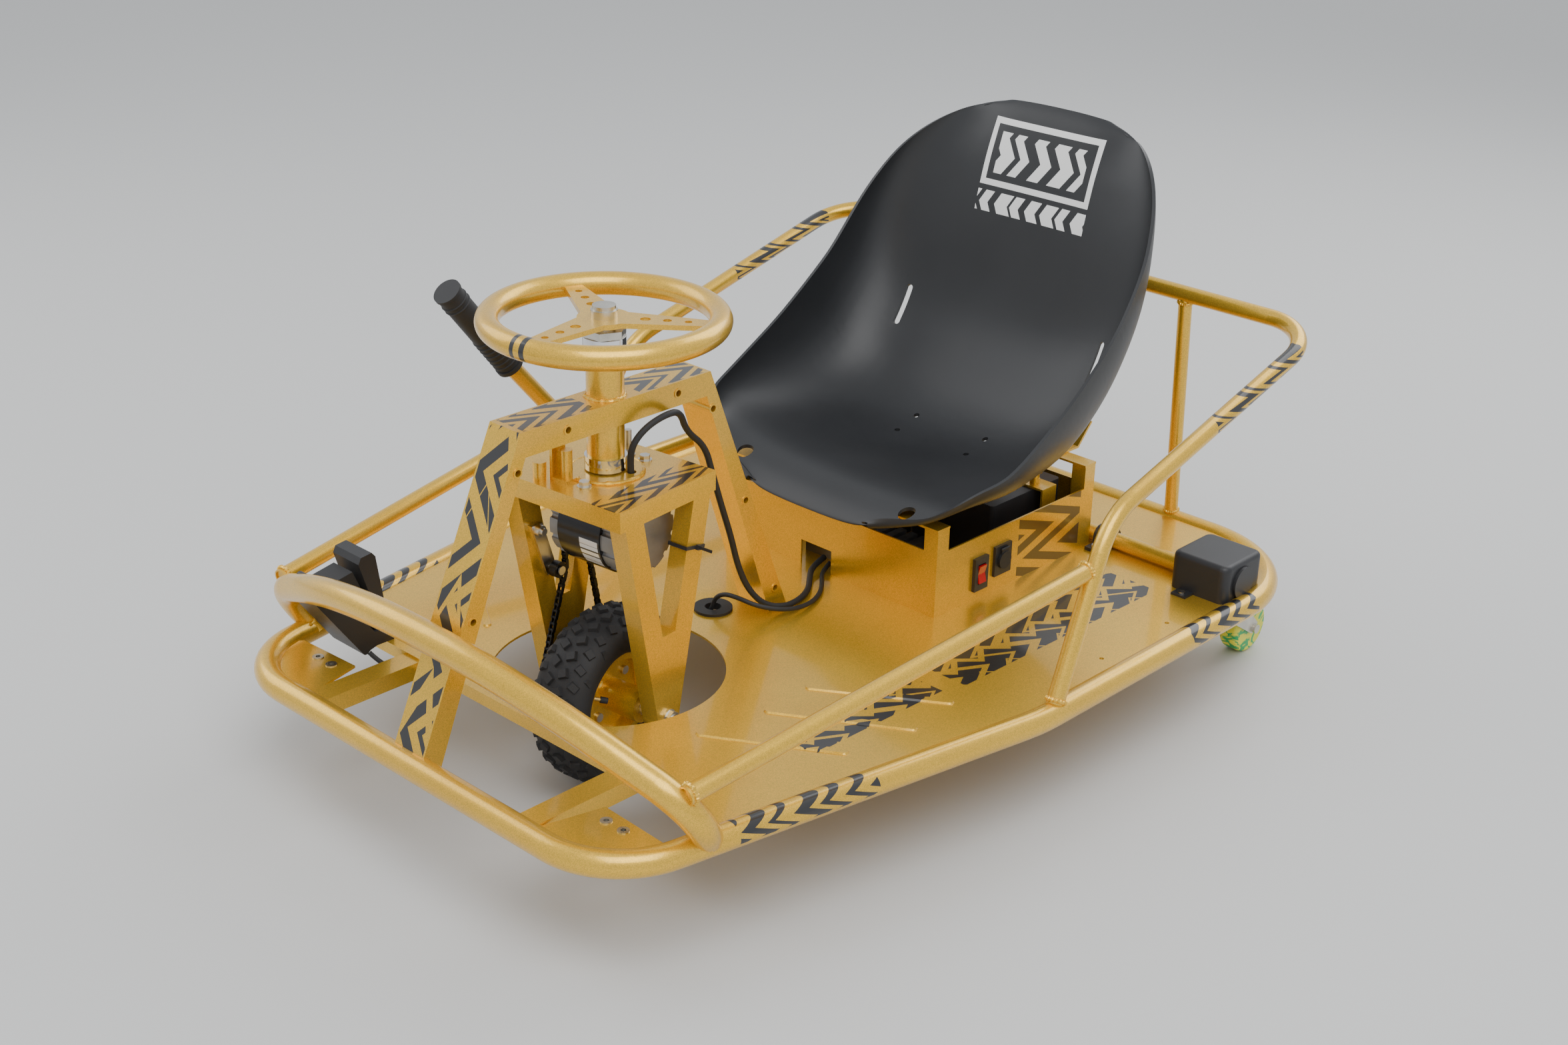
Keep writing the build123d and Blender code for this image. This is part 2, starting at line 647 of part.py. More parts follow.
# ======================= seat =======================
# Rows from the front lip to the top: edge x, y, z and middle y, z.
seat_rows = [
    (100, 56.5, 261, 48.5, 252),
    (160, 70.5, 280, 63.5, 266),
    (202, 89, 301, 90, 279),
    (236, 118.5, 331, 138.5, 284),
    (246, 149, 343, 188.5, 280),
    (248, 194, 365, 238.5, 274),
    (248, 239, 392, 288.5, 272),
    (247, 284, 421, 338.5, 283),
    (246, 329, 456, 378.5, 308),
    (244, 359, 483, 413.5, 347),
    (242, 389, 518, 438.5, 385),
    (235, 419, 559, 458.5, 435),
    (227, 439, 586, 470, 485),
    (210, 465, 620, 482, 545),
    (180, 496, 653, 497, 605),
    (140, 519, 672, 515, 662),
    (90, 536, 685, 536.5, 697),
]
across = 12


def seat_point(row, s):
    """Point of the seat's upper face on a row, s from -1 to 1 across."""
    x, y, z, my, mz = row
    rise = abs(s) ** 2.6
    return Vector(x * math.sin(math.pi / 2 * s), my + (y - my) * rise, mz + (z - mz) * rise)


grid = [[seat_point(row, -1 + 2 * k / across) for k in range(across + 1)] for row in seat_rows]
seat_face = Face.make_surface_from_array_of_points(grid, tol=0.8, min_deg=3, max_deg=5)
seat = Solid.thicken(seat_face, seat_wall, normal_override=Vector(0, 0.6, -1))


def through(x, y, z, d, tilt=0.0):
    """Cutter for a hole in the seat, along Z or tilted back about X."""
    return Pos(x, y, z) * Rot(tilt, 0, 0) * Cylinder(d / 2, 160)


for side in (-1, 1):
    seat -= through(side * 142, 83.5, 300, 22)
    seat -= through(side * 61, 300, 290, 8)
    seat -= through(side * 61, 340, 300, 8)
    seat -= Pos(side * 168, 430, 400) * Rot(65, 0, 0) * extrude(
        SlotOverall(60, 9, rotation=90), 100, both=True)
seat = seat.solids().sort_by(SortBy.VOLUME)[-1]
print("seat", seat.bounding_box(), seat.is_valid)
write("seat_shell", seat)


def under_seat(y, x=0.0):
    """Height of the seat's underside above a point of its middle run."""
    for a, b in zip(seat_rows, seat_rows[1:]):
        if a[3] <= y <= b[3]:
            t = (y - a[3]) / (b[3] - a[3])
            return a[4] + t * (b[4] - a[4]) - seat_wall
    return seat_rows[0][4]


# Brackets: cross bars on the posts, with blocks under the seat and a bent rear plate.
bracket_t = 3.0
pad_x = 61.0
front_bar_y = box_front + post / 2
rear_bar_y = box_rear - post / 2
front_block_y = 150.0
rear_block_y = 330.0
brackets = []
for y in (front_bar_y, rear_bar_y):
    brackets.append(block(-box_half, box_half, y - 12, y + 12, post_top, post_top + bracket_t))
for side in (-1, 1):
    x0 = side * pad_x - 15
    strap = block(x0, x0 + 30, front_bar_y + 12, rear_bar_y - 12, post_top, post_top + bracket_t)
    for y in (front_block_y, rear_block_y):
        top = under_seat(y) - 1.0
        strap += block(x0, x0 + 30, y - 14, y + 14, post_top, top)
    for y in (front_block_y, rear_block_y):
        strap -= block(x0 - 1, x0 + 31, y - 11, y + 11, post_top - 1, under_seat(y) - 5)
    brackets.append((strap - seat).solids().sort_by(SortBy.VOLUME)[-1])
    plate = side_plate([(rear_bar_y - 10, post_top + bracket_t), (rear_bar_y + 34, post_top + 3),
                        (rear_bar_y + 62, post_top + 34), (rear_bar_y + 59, post_top + 36),
                        (rear_bar_y + 32, post_top + 6), (rear_bar_y - 10, post_top + 6)],
                       side * 100 - 40, side * 100 + 40)
    brackets.append((plate - seat).solids().sort_by(SortBy.VOLUME)[-1])
write("seat_brackets", brackets)

# Batteries and controller inside the box, held by a clamp bar with a T-handle.
case_z = floor_top
battery_h = 96.0
batteries = []
for x0 in (-150.0, 10.0):
    pack = block(x0, x0 + 140, 250, 396, case_z, case_z + battery_h)
    batteries.append(fillet(pack.edges().filter_by(Axis.Z), 6))
write("batteries", batteries)
controller = block(-70, 70, 130, 220, case_z, case_z + 34)
for k in range(7):
    controller -= block(-64 + 19 * k, -56 + 19 * k, 129, 221, case_z + 28, case_z + 40)
write("motor_controller", controller)
clamp_y = 352.0
clamp_top = case_z + battery_h
clamp_bar = block(-162, 162, clamp_y - 15, clamp_y + 15, clamp_top, clamp_top + 3)
for side in (-1, 1):
    x0 = side * 162 if side > 0 else -162 - 3
    clamp_bar += block(x0, x0 + 3, clamp_y - 15, clamp_y + 15, case_z, clamp_top + 3)
handle_x = 140.0
clamp_bar += rod((handle_x, clamp_y, clamp_top + 3), (handle_x, clamp_y, clamp_top + 9), 14)
handle = rod((handle_x, clamp_y, clamp_top + 9), (handle_x, clamp_y, clamp_top + 17), 12)
handle += block(handle_x - 3.5, handle_x + 3.5, clamp_y - 11, clamp_y + 11, clamp_top + 14,
                clamp_top + 21)
write("battery_clamp", [clamp_bar, handle])

# Power switch: housing clipped in the side panel, rocker on a cross pin.
switch_w = 27.0
switch_h = 46.0
face_x = box_half
bezel_t = 5.0
housing = block(face_x, face_x + bezel_t, switch_y - switch_w / 2, switch_y + switch_w / 2,
                switch_z - switch_h / 2, switch_z + switch_h / 2)
housing += block(face_x - 20, face_x, switch_y - cut_w / 2, switch_y + cut_w / 2,
                 switch_z - cut_h / 2, switch_z + cut_h / 2)
rocker_w = 14.0
rocker_h = 26.0
housing -= block(face_x - 12, face_x + bezel_t + 1, switch_y - rocker_w / 2 - gap,
                 switch_y + rocker_w / 2 + gap, switch_z - rocker_h / 2 - 1,
                 switch_z + rocker_h / 2 + 1)
write("switch_housing", housing)
pivot_x = face_x - 5.0
rocker_out = face_x + bezel_t
rocker_points = [(pivot_x - 3, -6), (rocker_out - 1, -12), (rocker_out + 2.5, -12),
                 (rocker_out - 0.5, 0), (rocker_out + 2.5, 12), (rocker_out - 1, 12),
                 (pivot_x - 3, 6)]
rocker_face = make_face(Polyline(*[(x, z) for x, z in rocker_points], close=True))
rocker_plane = Plane(origin=(0, switch_y + rocker_w / 2, switch_z), x_dir=(1, 0, 0),
                     z_dir=(0, -1, 0))
rocker = extrude(rocker_plane * rocker_face, rocker_w)
write("switch_rocker", rocker)

# Charge port: a square plate with a round socket and a hinged cap.
port_half = 17.0
port = block(face_x, face_x + 4, port_y - port_half, port_y + port_half, port_z - port_half - 4,
             port_z + port_half + 4)
port += rod((face_x - 14, port_y, port_z), (face_x, port_y, port_z), port_d)
socket_d = 17.0
port -= rod((face_x - 11, port_y, port_z), (face_x + 10, port_y, port_z), socket_d)
port += rod((face_x - 12, port_y, port_z), (face_x - 3, port_y, port_z), 4)
cap_hinge_z = port_z + port_half - 1
write("charge_port", port)
cap = rod((face_x + 4 + gap, port_y, port_z), (face_x + 8, port_y, port_z), 24)
cap += block(face_x + 4 + gap, face_x + 7, port_y - 7, port_y + 7, port_z, cap_hinge_z)
cap += rod((face_x + 6.0, port_y - 8, cap_hinge_z), (face_x + 6.0, port_y + 8, cap_hinge_z), 3.2)
write("charge_cap", cap)

# ======================= pedal =======================
pedal_x0 = -302.0
pedal_x1 = -240.0
base_outline = [(-473.5, 135), (-540, 228), (-517, 246), (-450.5, 153)]
pedal_base = side_plate(base_outline, pedal_x0, pedal_x1)
pedal_base = fillet(pedal_base.edges().filter_by(Axis.X), 5)
hinge_y = -437.0
hinge_z = 154.0
foot = block(pedal_x0 + 6, pedal_x1 - 6, -466, -418, floor_top, floor_top + 3)
foot -= rod((pedal_x0, hinge_y, hinge_z), (pedal_x1, hinge_y, hinge_z), 17)
pedal_base += foot
pad_x0 = -296.8
pad_x1 = -245.2
pin_r = 2.5
for x0 in (pedal_x0, pedal_x1 - 4.6):
    ear = side_plate([(-470, 140), (-462, 164), (hinge_y, hinge_z + 7), (hinge_y + 7, hinge_z),
                      (hinge_y + 7, floor_top), (-455, floor_top)], x0, x0 + 4.6)
    pedal_base += ear
pedal_base -= rod((pedal_x0 - 5, hinge_y, hinge_z), (pedal_x1 + 5, hinge_y, hinge_z),
                  2 * (pin_r + running))
pedal_base = pedal_base.solids().sort_by(SortBy.VOLUME)[-1]
pedal_base -= base_core
pedal_base = pedal_base.solids().sort_by(SortBy.VOLUME)[-1]
write("pedal_base", pedal_base)
pad_t = 16.0
pad_outline = [(hinge_y - 6, hinge_z + 8), (-472, 256), (-468, 264), (-452, 266), (-447, 260),
               (hinge_y + 6, hinge_z - 2), (hinge_y + 2, hinge_z - 6), (hinge_y - 5, hinge_z - 4)]
pad = side_plate(pad_outline, pad_x0, pad_x1)
pad += rod((pedal_x0 - 2, hinge_y, hinge_z), (pedal_x1 + 2, hinge_y, hinge_z), 2 * pin_r)
for k in range(5):
    z = 176 + 17 * k
    y = hinge_y + 6 + (z - hinge_z + 2) * (-447 - hinge_y - 6) / 108
    pad += block(pad_x0 + 5, pad_x1 - 5, y - 2, y + 1.6, z, z + 7)
write("pedal_pad", pad)
bellows_outline = [(-459, 172), (-509, 240), (-476.5, 246), (-448.5, 178)]
bellows = side_plate(bellows_outline, pedal_x0 + 12, pedal_x1 - 12)
write("pedal_bellows", bellows)

# ======================= drift axle =======================
shaft_end = 400.0
bore_d = shaft_d + 2 * running
lever_points = [
    (lever_x, shaft_y, shaft_z),
    (lever_x, 372, 235),
    (lever_x, -18.5, 235),
    (lever_x, -183.5, 423),
    (lever_x, -276.5, 539),
]
clamp_x = 205.0
clamp_w = 24.0
clamps = []
screws = []
for side in (-1, 1):
    x0 = side * clamp_x - clamp_w / 2
    saddle = block(x0, x0 + clamp_w, shaft_y - 16, shaft_y + 16, floor_top, shaft_z)
    saddle += rod((x0, shaft_y, shaft_z), (x0 + clamp_w, shaft_y, shaft_z), 32)
    saddle += block(x0, x0 + clamp_w, shaft_y - 34, shaft_y + 34, floor_top, floor_top + 5)
    saddle -= block(x0 - 1, x0 + clamp_w + 1, shaft_y - 40, shaft_y + 40, 100, floor_top)
    saddle -= rod((x0 - 1, shaft_y, shaft_z), (x0 + clamp_w + 1, shaft_y, shaft_z), bore_d)
    for y in (shaft_y - 26, shaft_y + 26):
        saddle -= Pos(side * clamp_x, y, floor_top) * Cylinder(3.1, 20)
        screw = rod((side * clamp_x, y, floor_under - 6), (side * clamp_x, y, floor_top + 5), 6)
        screw += extrude(Pos(side * clamp_x, y, floor_top + 5) * RegularPolygon(5.6, 6), 4)
        screws.append(screw)
        floor -= Pos(side * clamp_x, y, floor_top) * Cylinder(3.1, 20)
    clamps.append(saddle)
write("saddle_clamps", clamps)
shaft = rod((-shaft_end, shaft_y, shaft_z), (shaft_end, shaft_y, shaft_z), shaft_d)

# Arms from the shaft down through the floor to the leaning kingpins.
lean_rad = math.radians(lean)
pin_dir = Vector(0, math.sin(lean_rad), -math.cos(lean_rad))
king = Vector(0, 511.0, 78.0)
arm_w = 30.0
arm_parts = []
head_h = 16.0
forward = Vector(0, -math.cos(lean_rad), -math.sin(lean_rad))
head_side_top = king - pin_dir * head_h + forward * 12
head_side_low = king + forward * 8
for side in (-1, 1):
    x = side * caster_x
    arm = side_plate([(shaft_y - 14, shaft_z - 2), (shaft_y + 14, shaft_z - 2),
                      (head_side_top.Y, head_side_top.Z), (head_side_low.Y, head_side_low.Z),
                      (king.Y - 28, king.Z - 6), (shaft_y - 12, shaft_z - 52)], x - 5, x + 5)
    arm += rod((x - arm_w / 2, shaft_y, shaft_z), (x + arm_w / 2, shaft_y, shaft_z), shaft_d + 8)
    head = Vector(x, king.Y, king.Z)
    arm += rod(tuple(head - pin_dir * head_h), tuple(head), 32)
    arm -= rod(tuple(head - pin_dir * 30), tuple(head + pin_dir * 5), 12 + 2 * running)
    arm_parts.append(arm)
shaft += arm_parts[0] + arm_parts[1]
shaft = shaft.solids().sort_by(SortBy.VOLUME)[-1]
shaft_core = rod((-shaft_end, shaft_y, shaft_z), (shaft_end, shaft_y, shaft_z), shaft_d)
lever = tube(lever_points, [60.0, 70.0, 200.0], rail_tube)
lever -= shaft_core
lever = lever.solids().sort_by(SortBy.VOLUME)[-1]
grip_length = 149.0
grip_dir = (Vector(*lever_points[-1]) - Vector(*lever_points[-2])).normalized()
grip_end = Vector(*lever_points[-1]) + grip_dir * 3
grip_start = grip_end - grip_dir * grip_length
grip = rod(tuple(grip_start), tuple(grip_end), 34, rail_tube)
grip += rod(tuple(grip_end), tuple(grip_end + grip_dir * 4), 37)
grip += rod(tuple(grip_start), tuple(grip_start + grip_dir * 6), 38, rail_tube)
write("drift_shaft", shaft)
write("hand_lever", lever)
write("lever_grip", grip)

# Swivelling caster forks and wheels.
wheel_y = 560.0
fork_top = king + pin_dir * gap
fork_side = caster_w / 2 + 2.0
for name, side in (("left", 1), ("right", -1)):
    x = side * caster_x
    top = Vector(x, fork_top.Y, fork_top.Z)
    pin = rod(tuple(top - pin_dir * 24), tuple(top), 12)
    pin += rod(tuple(top - pin_dir * 24), tuple(top - pin_dir * 18), 20)
    crown = rod(tuple(top), tuple(top + pin_dir * 4), 38)
    bridge_plane = Plane(origin=tuple(top + pin_dir * 4), x_dir=(1, 0, 0), z_dir=tuple(pin_dir))
    body = pin + crown
    body += extrude(bridge_plane * Pos(0, 0) * Rectangle(2 * fork_side + 6, 34), -4)
    for flip in (-1, 1):
        x0 = x + flip * fork_side if flip > 0 else x - fork_side - 3
        near = top + pin_dir * 2
        across_dir = Vector(0, pin_dir.Z, -pin_dir.Y)
        a = near + across_dir * 17
        b = near - across_dir * 17
        cheek = side_plate([(a.Y, a.Z), (b.Y, b.Z), (wheel_y + 7, caster_r + 7),
                            (wheel_y + 2, caster_r - 8), (wheel_y - 8, caster_r - 5)], x0, x0 + 3)
        body += cheek
    body += rod((x - fork_side - 7, wheel_y, caster_r), (x + fork_side + 7, wheel_y, caster_r), 8)
    for flip in (-1, 1):
        face = x + flip * (fork_side + 3)
        body += rod((face, wheel_y, caster_r), (face + flip * 4.5, wheel_y, caster_r), 13)
    roll = rod((x - caster_w / 2, wheel_y, caster_r), (x + caster_w / 2, wheel_y, caster_r),
               2 * caster_r, 8 + 2 * running)
    roll = fillet(roll.edges().filter_by(GeomType.CIRCLE).sort_by(SortBy.RADIUS)[-2:], 7)
    clear = rod((x - caster_w / 2 - 1, wheel_y, caster_r), (x + caster_w / 2 + 1, wheel_y, caster_r),
                2 * caster_r + 3)
    keep = rod((x - fork_side, wheel_y, caster_r), (x + fork_side, wheel_y, caster_r), 8)
    body = body - clear + keep
    print(name, "caster fork solids", len(body.solids()))
    write(f"caster_fork_{name}", body)
    write(f"caster_wheel_{name}", roll)

# Moulded covers over the ends of the shaft.
covers = []
cover_wall = 3.0
for side in (-1, 1):
    x0 = 338.0 if side > 0 else -424.0
    x1 = x0 + 86.0
    shell = fillet(block(x0, x1, 393, 480, floor_top, 196).edges().filter_by(Axis.Z), 12)
    shell = fillet(shell.edges().group_by(Axis.Z)[-1], 7)
    boss_x = x1 if side > 0 else x0
    shell += rod((boss_x - side * 10, 432, 166), (boss_x + side * 4, 432, 166), 44)
    shell -= block(x0 - 10, x1 + 10, 380, 490, floor_top - 30, floor_top)
    shell -= base_core
    hollow = fillet(block(x0 + cover_wall, x1 - cover_wall, 393 + cover_wall, 480 - cover_wall,
                          floor_top - 1, 196 - cover_wall).edges().filter_by(Axis.Z), 9)
    shell -= hollow
    inner_x = x0 if side > 0 else x1
    shell -= block(inner_x - 8, inner_x + 8, shaft_y - 13, shaft_y + 13, floor_top - 1,
                   shaft_z + 12)
    tab_x = x0 + 43 if side > 0 else x1 - 43
    shell += block(tab_x - 26, tab_x - 4, 374, 394, floor_top, floor_top + 3)
    screw_at = (tab_x - 15, 382)
    shell -= Pos(*screw_at, floor_top) * Cylinder(2.6, 20)
    covers.append(shell.solids().sort_by(SortBy.VOLUME)[-1])
    screw = rod((*screw_at, floor_under - 4), (*screw_at, floor_top + 3), 5)
    screw += rod((*screw_at, floor_top + 3), (*screw_at, floor_top + 5.5), 10)
    screws.append(screw)
    floor -= Pos(*screw_at, floor_top) * Cylinder(2.6, 20)
write("caster_covers", covers)

# Screws and nuts fixed to the frame: clamps, covers, corner gussets and seat.
for side in (-1, 1):
    for x, y in nut_places:
        nut = rod((side * x, y, gusset_z - 6), (side * x, y, gusset_z + 3), nut_d, 6)
        nut += rod((side * x, y, gusset_z + 3), (side * x, y, gusset_z + 4.2), 14, 6)
        screws.append(nut)
write("frame_screws", screws)

# ======================= cords =======================
grommet_flange = 50.0
grommet_bore = 21.0
grommet = rod((grommet_x, grommet_y, floor_top), (grommet_x, grommet_y, floor_top + 3.5),
              grommet_flange, grommet_bore)
grommet += rod((grommet_x, grommet_y, floor_under - 3), (grommet_x, grommet_y, floor_top),
               grommet_d, grommet_bore)
write("floor_grommet", grommet)
write("floor_plate", floor.solids().sort_by(SortBy.VOLUME)[-1])

cable_d = 8.0
throttle_d = 6.0
hole = turned * Pos(cable_hole[0], cable_hole[1], 0)
hole_x = hole.position.X
hole_y = hole.position.Y
motor_route = [
    (hole_x, hole_y, plate_top - 2.7),
    (hole_x + 1, hole_y - 3, plate_top + 19),
    (hole_x + 8, hole_y - 4, plate_top + 42),
    (43, -268, 463),
    (47, -242, 472),
    (42.6, -215.35, 468.05),
    (35, -203, 450),
]
main_route = [
    (35, -203, 450),
    (27, -190, 431),
    (21, -153, 401),
    (18, -137, 359),
    (17, -121, 314),
    (18, -104, 266),
    (17, -90, 220),
    (20, -73, 182),
    (31, -54, 158),
    (40, -26, 150),
    (37, 5, 149),
    (24, 35, 149),
    (3, 59, 151),
    (-14, 82, 153),
    (-18, 110, 156),
]
throttle_route = [
    (-243, -466, 137),
    (-226, -457, 120),
    (-198, -434, 110),
    (-187, -394, 108),
    (-182, -342, 119),
    (-180, -286, 130),
    (-172, -228, 131),
    (-150, -178, 131),
    (-112, -139, 130),
    (-70, -112, 126),
    (-40, -97, 127),
    (-29, -89, 143),
    (-26, -87, 160),
    (-10, -86, 171),
    (13, -85, 173),
    (36, -76, 167),
    (50, -52, 158),
    (55, -22, 151),
    (53, 9, 148),
    (41, 39, 148),
    (21, 64, 148),
    (1, 84, 149),
    (-6, 108, 152),
]
for name, route, d in (("motor_cable", motor_route, cable_d), ("main_cable", main_route, cable_d),
                       ("throttle_cable", throttle_route, throttle_d)):
    cord = tube(route, cord_radii(name, route), d, None)
    print(name, "volume", round(cord.volume), "length", round(cord.volume / (math.pi * d * d / 4)))
    write(name, cord)
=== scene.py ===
import math

import bmesh
import bpy
from mathutils import Matrix, Vector, noise


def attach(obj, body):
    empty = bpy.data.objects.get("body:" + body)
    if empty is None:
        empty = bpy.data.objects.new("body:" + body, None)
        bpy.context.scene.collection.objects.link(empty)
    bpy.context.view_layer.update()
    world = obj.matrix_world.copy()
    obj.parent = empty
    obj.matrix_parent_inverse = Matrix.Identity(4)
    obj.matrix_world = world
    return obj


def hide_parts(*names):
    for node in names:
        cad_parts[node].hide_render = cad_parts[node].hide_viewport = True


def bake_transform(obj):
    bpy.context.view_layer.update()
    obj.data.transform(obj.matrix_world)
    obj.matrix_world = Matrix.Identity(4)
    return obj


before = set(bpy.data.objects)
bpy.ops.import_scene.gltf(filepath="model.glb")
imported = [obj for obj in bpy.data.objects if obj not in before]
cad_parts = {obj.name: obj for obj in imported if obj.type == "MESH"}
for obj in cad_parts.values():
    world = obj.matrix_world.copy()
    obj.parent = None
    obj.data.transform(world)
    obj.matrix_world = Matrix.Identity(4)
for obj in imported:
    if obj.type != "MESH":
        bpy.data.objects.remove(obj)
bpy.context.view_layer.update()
scene = bpy.context.scene

# Camera: a standing person's view over the kart's front left corner, looking
# slightly down, with a normal lens and a slight roll.
view_azimuth = math.radians(43.11)
view_pitch = math.radians(24.12)
view_roll = math.radians(1.4)
ahead = Vector((-math.sin(view_azimuth) * math.cos(view_pitch),
                math.cos(view_azimuth) * math.cos(view_pitch), -math.sin(view_pitch)))
level = Vector((math.cos(view_azimuth), math.sin(view_azimuth), 0))
upright = level.cross(ahead)
right = level * math.cos(view_roll) + upright * math.sin(view_roll)
above = upright * math.cos(view_roll) - level * math.sin(view_roll)
camera_data = bpy.data.cameras.new("camera")
camera_data.lens = 49.89
camera_data.sensor_width = 36.0
camera = bpy.data.objects.new("camera", camera_data)
scene.collection.objects.link(camera)
turn = Matrix((right, above, -ahead)).transposed().to_4x4()
camera.matrix_world = Matrix.Translation((1.7338, -1.8415, 1.379)) @ turn
scene.camera = camera


# Black rubber: the skin of the cables, the grip, the bellows and the grommet.
# It is dull, with a fine grain and a little dust.
def new_material(name, color, roughness, metallic=0.0):
    """A material with its shader's own plain sockets set."""
    made = bpy.data.materials.new(name)
    made.use_nodes = True
    shader = made.node_tree.nodes["Principled BSDF"]
    shader.inputs["Base Color"].default_value = (*color, 1)
    shader.inputs["Roughness"].default_value = roughness
    shader.inputs["Metallic"].default_value = metallic
    return made, made.node_tree, shader


def grain_group():
    """Fine grain and slow mottling: colour, roughness and height that vary over a surface."""
    group = bpy.data.node_groups.new("grain", "ShaderNodeTree")
    face = group.interface
    for label, kind in (("Color", "NodeSocketColor"), ("Roughness", "NodeSocketFloat"),
                        ("Grain", "NodeSocketFloat"), ("Patch", "NodeSocketFloat"),
                        ("Spread", "NodeSocketFloat")):
        face.new_socket(name=label, in_out="INPUT", socket_type=kind)
    for label, kind in (("Color", "NodeSocketColor"), ("Roughness", "NodeSocketFloat"),
                        ("Height", "NodeSocketFloat")):
        face.new_socket(name=label, in_out="OUTPUT", socket_type=kind)
    nodes = group.nodes
    links = group.links
    given = nodes.new("NodeGroupInput")
    out = nodes.new("NodeGroupOutput")
    place = nodes.new("ShaderNodeTexCoord")
    fine = nodes.new("ShaderNodeTexNoise")
    fine.inputs["Detail"].default_value = 3
    slow = nodes.new("ShaderNodeTexNoise")
    slow.inputs["Detail"].default_value = 5
    links.new(place.outputs["Object"], fine.inputs["Vector"])
    links.new(place.outputs["Object"], slow.inputs["Vector"])
    links.new(given.outputs["Grain"], fine.inputs["Scale"])
    links.new(given.outputs["Patch"], slow.inputs["Scale"])
    shade = nodes.new("ShaderNodeMapRange")
    shade.inputs["From Min"].default_value = 0.3
    shade.inputs["From Max"].default_value = 0.7
    shade.inputs["To Min"].default_value = 0.82
    shade.inputs["To Max"].default_value = 1.18
    links.new(slow.outputs["Fac"], shade.inputs["Value"])
    tint = nodes.new("ShaderNodeVectorMath")
    tint.operation = "SCALE"
    links.new(given.outputs["Color"], tint.inputs[0])
    links.new(shade.outputs["Result"], tint.inputs["Scale"])
    links.new(tint.outputs["Vector"], out.inputs["Color"])
    rough = nodes.new("ShaderNodeMath")
    rough.operation = "MULTIPLY_ADD"
    centred = nodes.new("ShaderNodeMath")
    centred.operation = "SUBTRACT"
    centred.inputs[1].default_value = 0.5
    links.new(slow.outputs["Fac"], centred.inputs[0])
    links.new(centred.outputs[0], rough.inputs[0])
    links.new(given.outputs["Spread"], rough.inputs[1])
    links.new(given.outputs["Roughness"], rough.inputs[2])
    links.new(rough.outputs[0], out.inputs["Roughness"])
    links.new(fine.outputs["Fac"], out.inputs["Height"])
    return group


grain = grain_group()


def grained(name, color, roughness, metallic=0.0, grain_size=900.0, patch=9.0, spread=0.25,
            bump=0.0002):
    """A finished material: the grain group over a colour, with its bump."""
    made, tree, shader = new_material(name, color, roughness, metallic)
    group = tree.nodes.new("ShaderNodeGroup")
    group.node_tree = grain
    group.inputs["Color"].default_value = (*color, 1)
    group.inputs["Roughness"].default_value = roughness
    group.inputs["Grain"].default_value = grain_size
    group.inputs["Patch"].default_value = patch
    group.inputs["Spread"].default_value = spread
    raised = tree.nodes.new("ShaderNodeBump")
    raised.inputs["Distance"].default_value = bump
    raised.inputs["Strength"].default_value = 0.6
    tree.links.new(group.outputs["Color"], shader.inputs["Base Color"])
    tree.links.new(group.outputs["Roughness"], shader.inputs["Roughness"])
    tree.links.new(group.outputs["Height"], raised.inputs["Height"])
    tree.links.new(raised.outputs["Normal"], shader.inputs["Normal"])
    return made, tree, shader, group


def paint(material, *names):
    """Give CAD nodes a material."""
    for name in names:
        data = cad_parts[name].data
        data.materials.clear()
        data.materials.append(material)


rubber = grained("black_rubber", (0.018, 0.018, 0.019), 0.6)[0]
paint(rubber, "lever_grip", "floor_grommet", "pedal_bellows", "charge_cap")


# Cables: motor lead from the fork to the arch, main lead down the arch leg and
# the pedal's lead below the floor; round black jackets held by ties.
def cable(name, points, thickness, body):
    """A smooth round cable along listed points, in millimetres."""
    line = bpy.data.curves.new(name, "CURVE")
    line.dimensions = "3D"
    line.bevel_depth = thickness / 2000
    line.bevel_resolution = 4
    line.resolution_u = 10
    line.use_fill_caps = True
    spline = line.splines.new("NURBS")
    spline.points.add(len(points) - 1)
    for point, at in zip(spline.points, points):
        point.co = (*[v / 1000 for v in at], 1)
    spline.order_u = 3
    spline.use_endpoint_u = True
    line.materials.append(rubber)
    piece = bpy.data.objects.new(name, line)
    scene.collection.objects.link(piece)
    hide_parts(name.replace("_jacket", ""))
    if body:
        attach(piece, body)
    return piece


cable("main_cable_jacket", [
    (35, -203, 450), (27, -190, 431), (21, -153, 401), (18, -137, 359), (17, -121, 314),
    (18, -104, 266), (17, -90, 220), (20, -73, 182), (31, -54, 158), (40, -26, 150),
    (37, 5, 149), (24, 35, 149), (3, 59, 151), (-14, 82, 153), (-18, 110, 156),
], 8, "chassis")
cable("throttle_cable_jacket", [
    (-243, -466, 137), (-226, -457, 120), (-198, -434, 110), (-187, -394, 108),
    (-182, -342, 119), (-180, -286, 130), (-172, -228, 131), (-150, -178, 131),
    (-112, -139, 130), (-70, -112, 126), (-40, -97, 127), (-29, -89, 143), (-26, -87, 160),
    (-10, -86, 171), (13, -85, 173), (36, -76, 167), (50, -52, 158), (55, -22, 151),
    (53, 9, 148), (41, 39, 148), (21, 64, 148), (1, 84, 149), (-6, 108, 152),
], 6, "chassis")
loop = cable("motor_cable_jacket", [
    (28.8, -279.5, 400.3), (29.8, -282.5, 422), (36.8, -283.5, 445), (43, -268, 463),
    (47, -242, 472), (42.6, -215.35, 468.05), (35, -203, 450),
], 8, None)
bpy.context.view_layer.update()
solid = bpy.data.meshes.new_from_object(loop.evaluated_get(
    bpy.context.evaluated_depsgraph_get()))
motor_cable = bpy.data.objects.new("motor_cable_skin", solid)
scene.collection.objects.link(motor_cable)
bpy.data.objects.remove(loop)
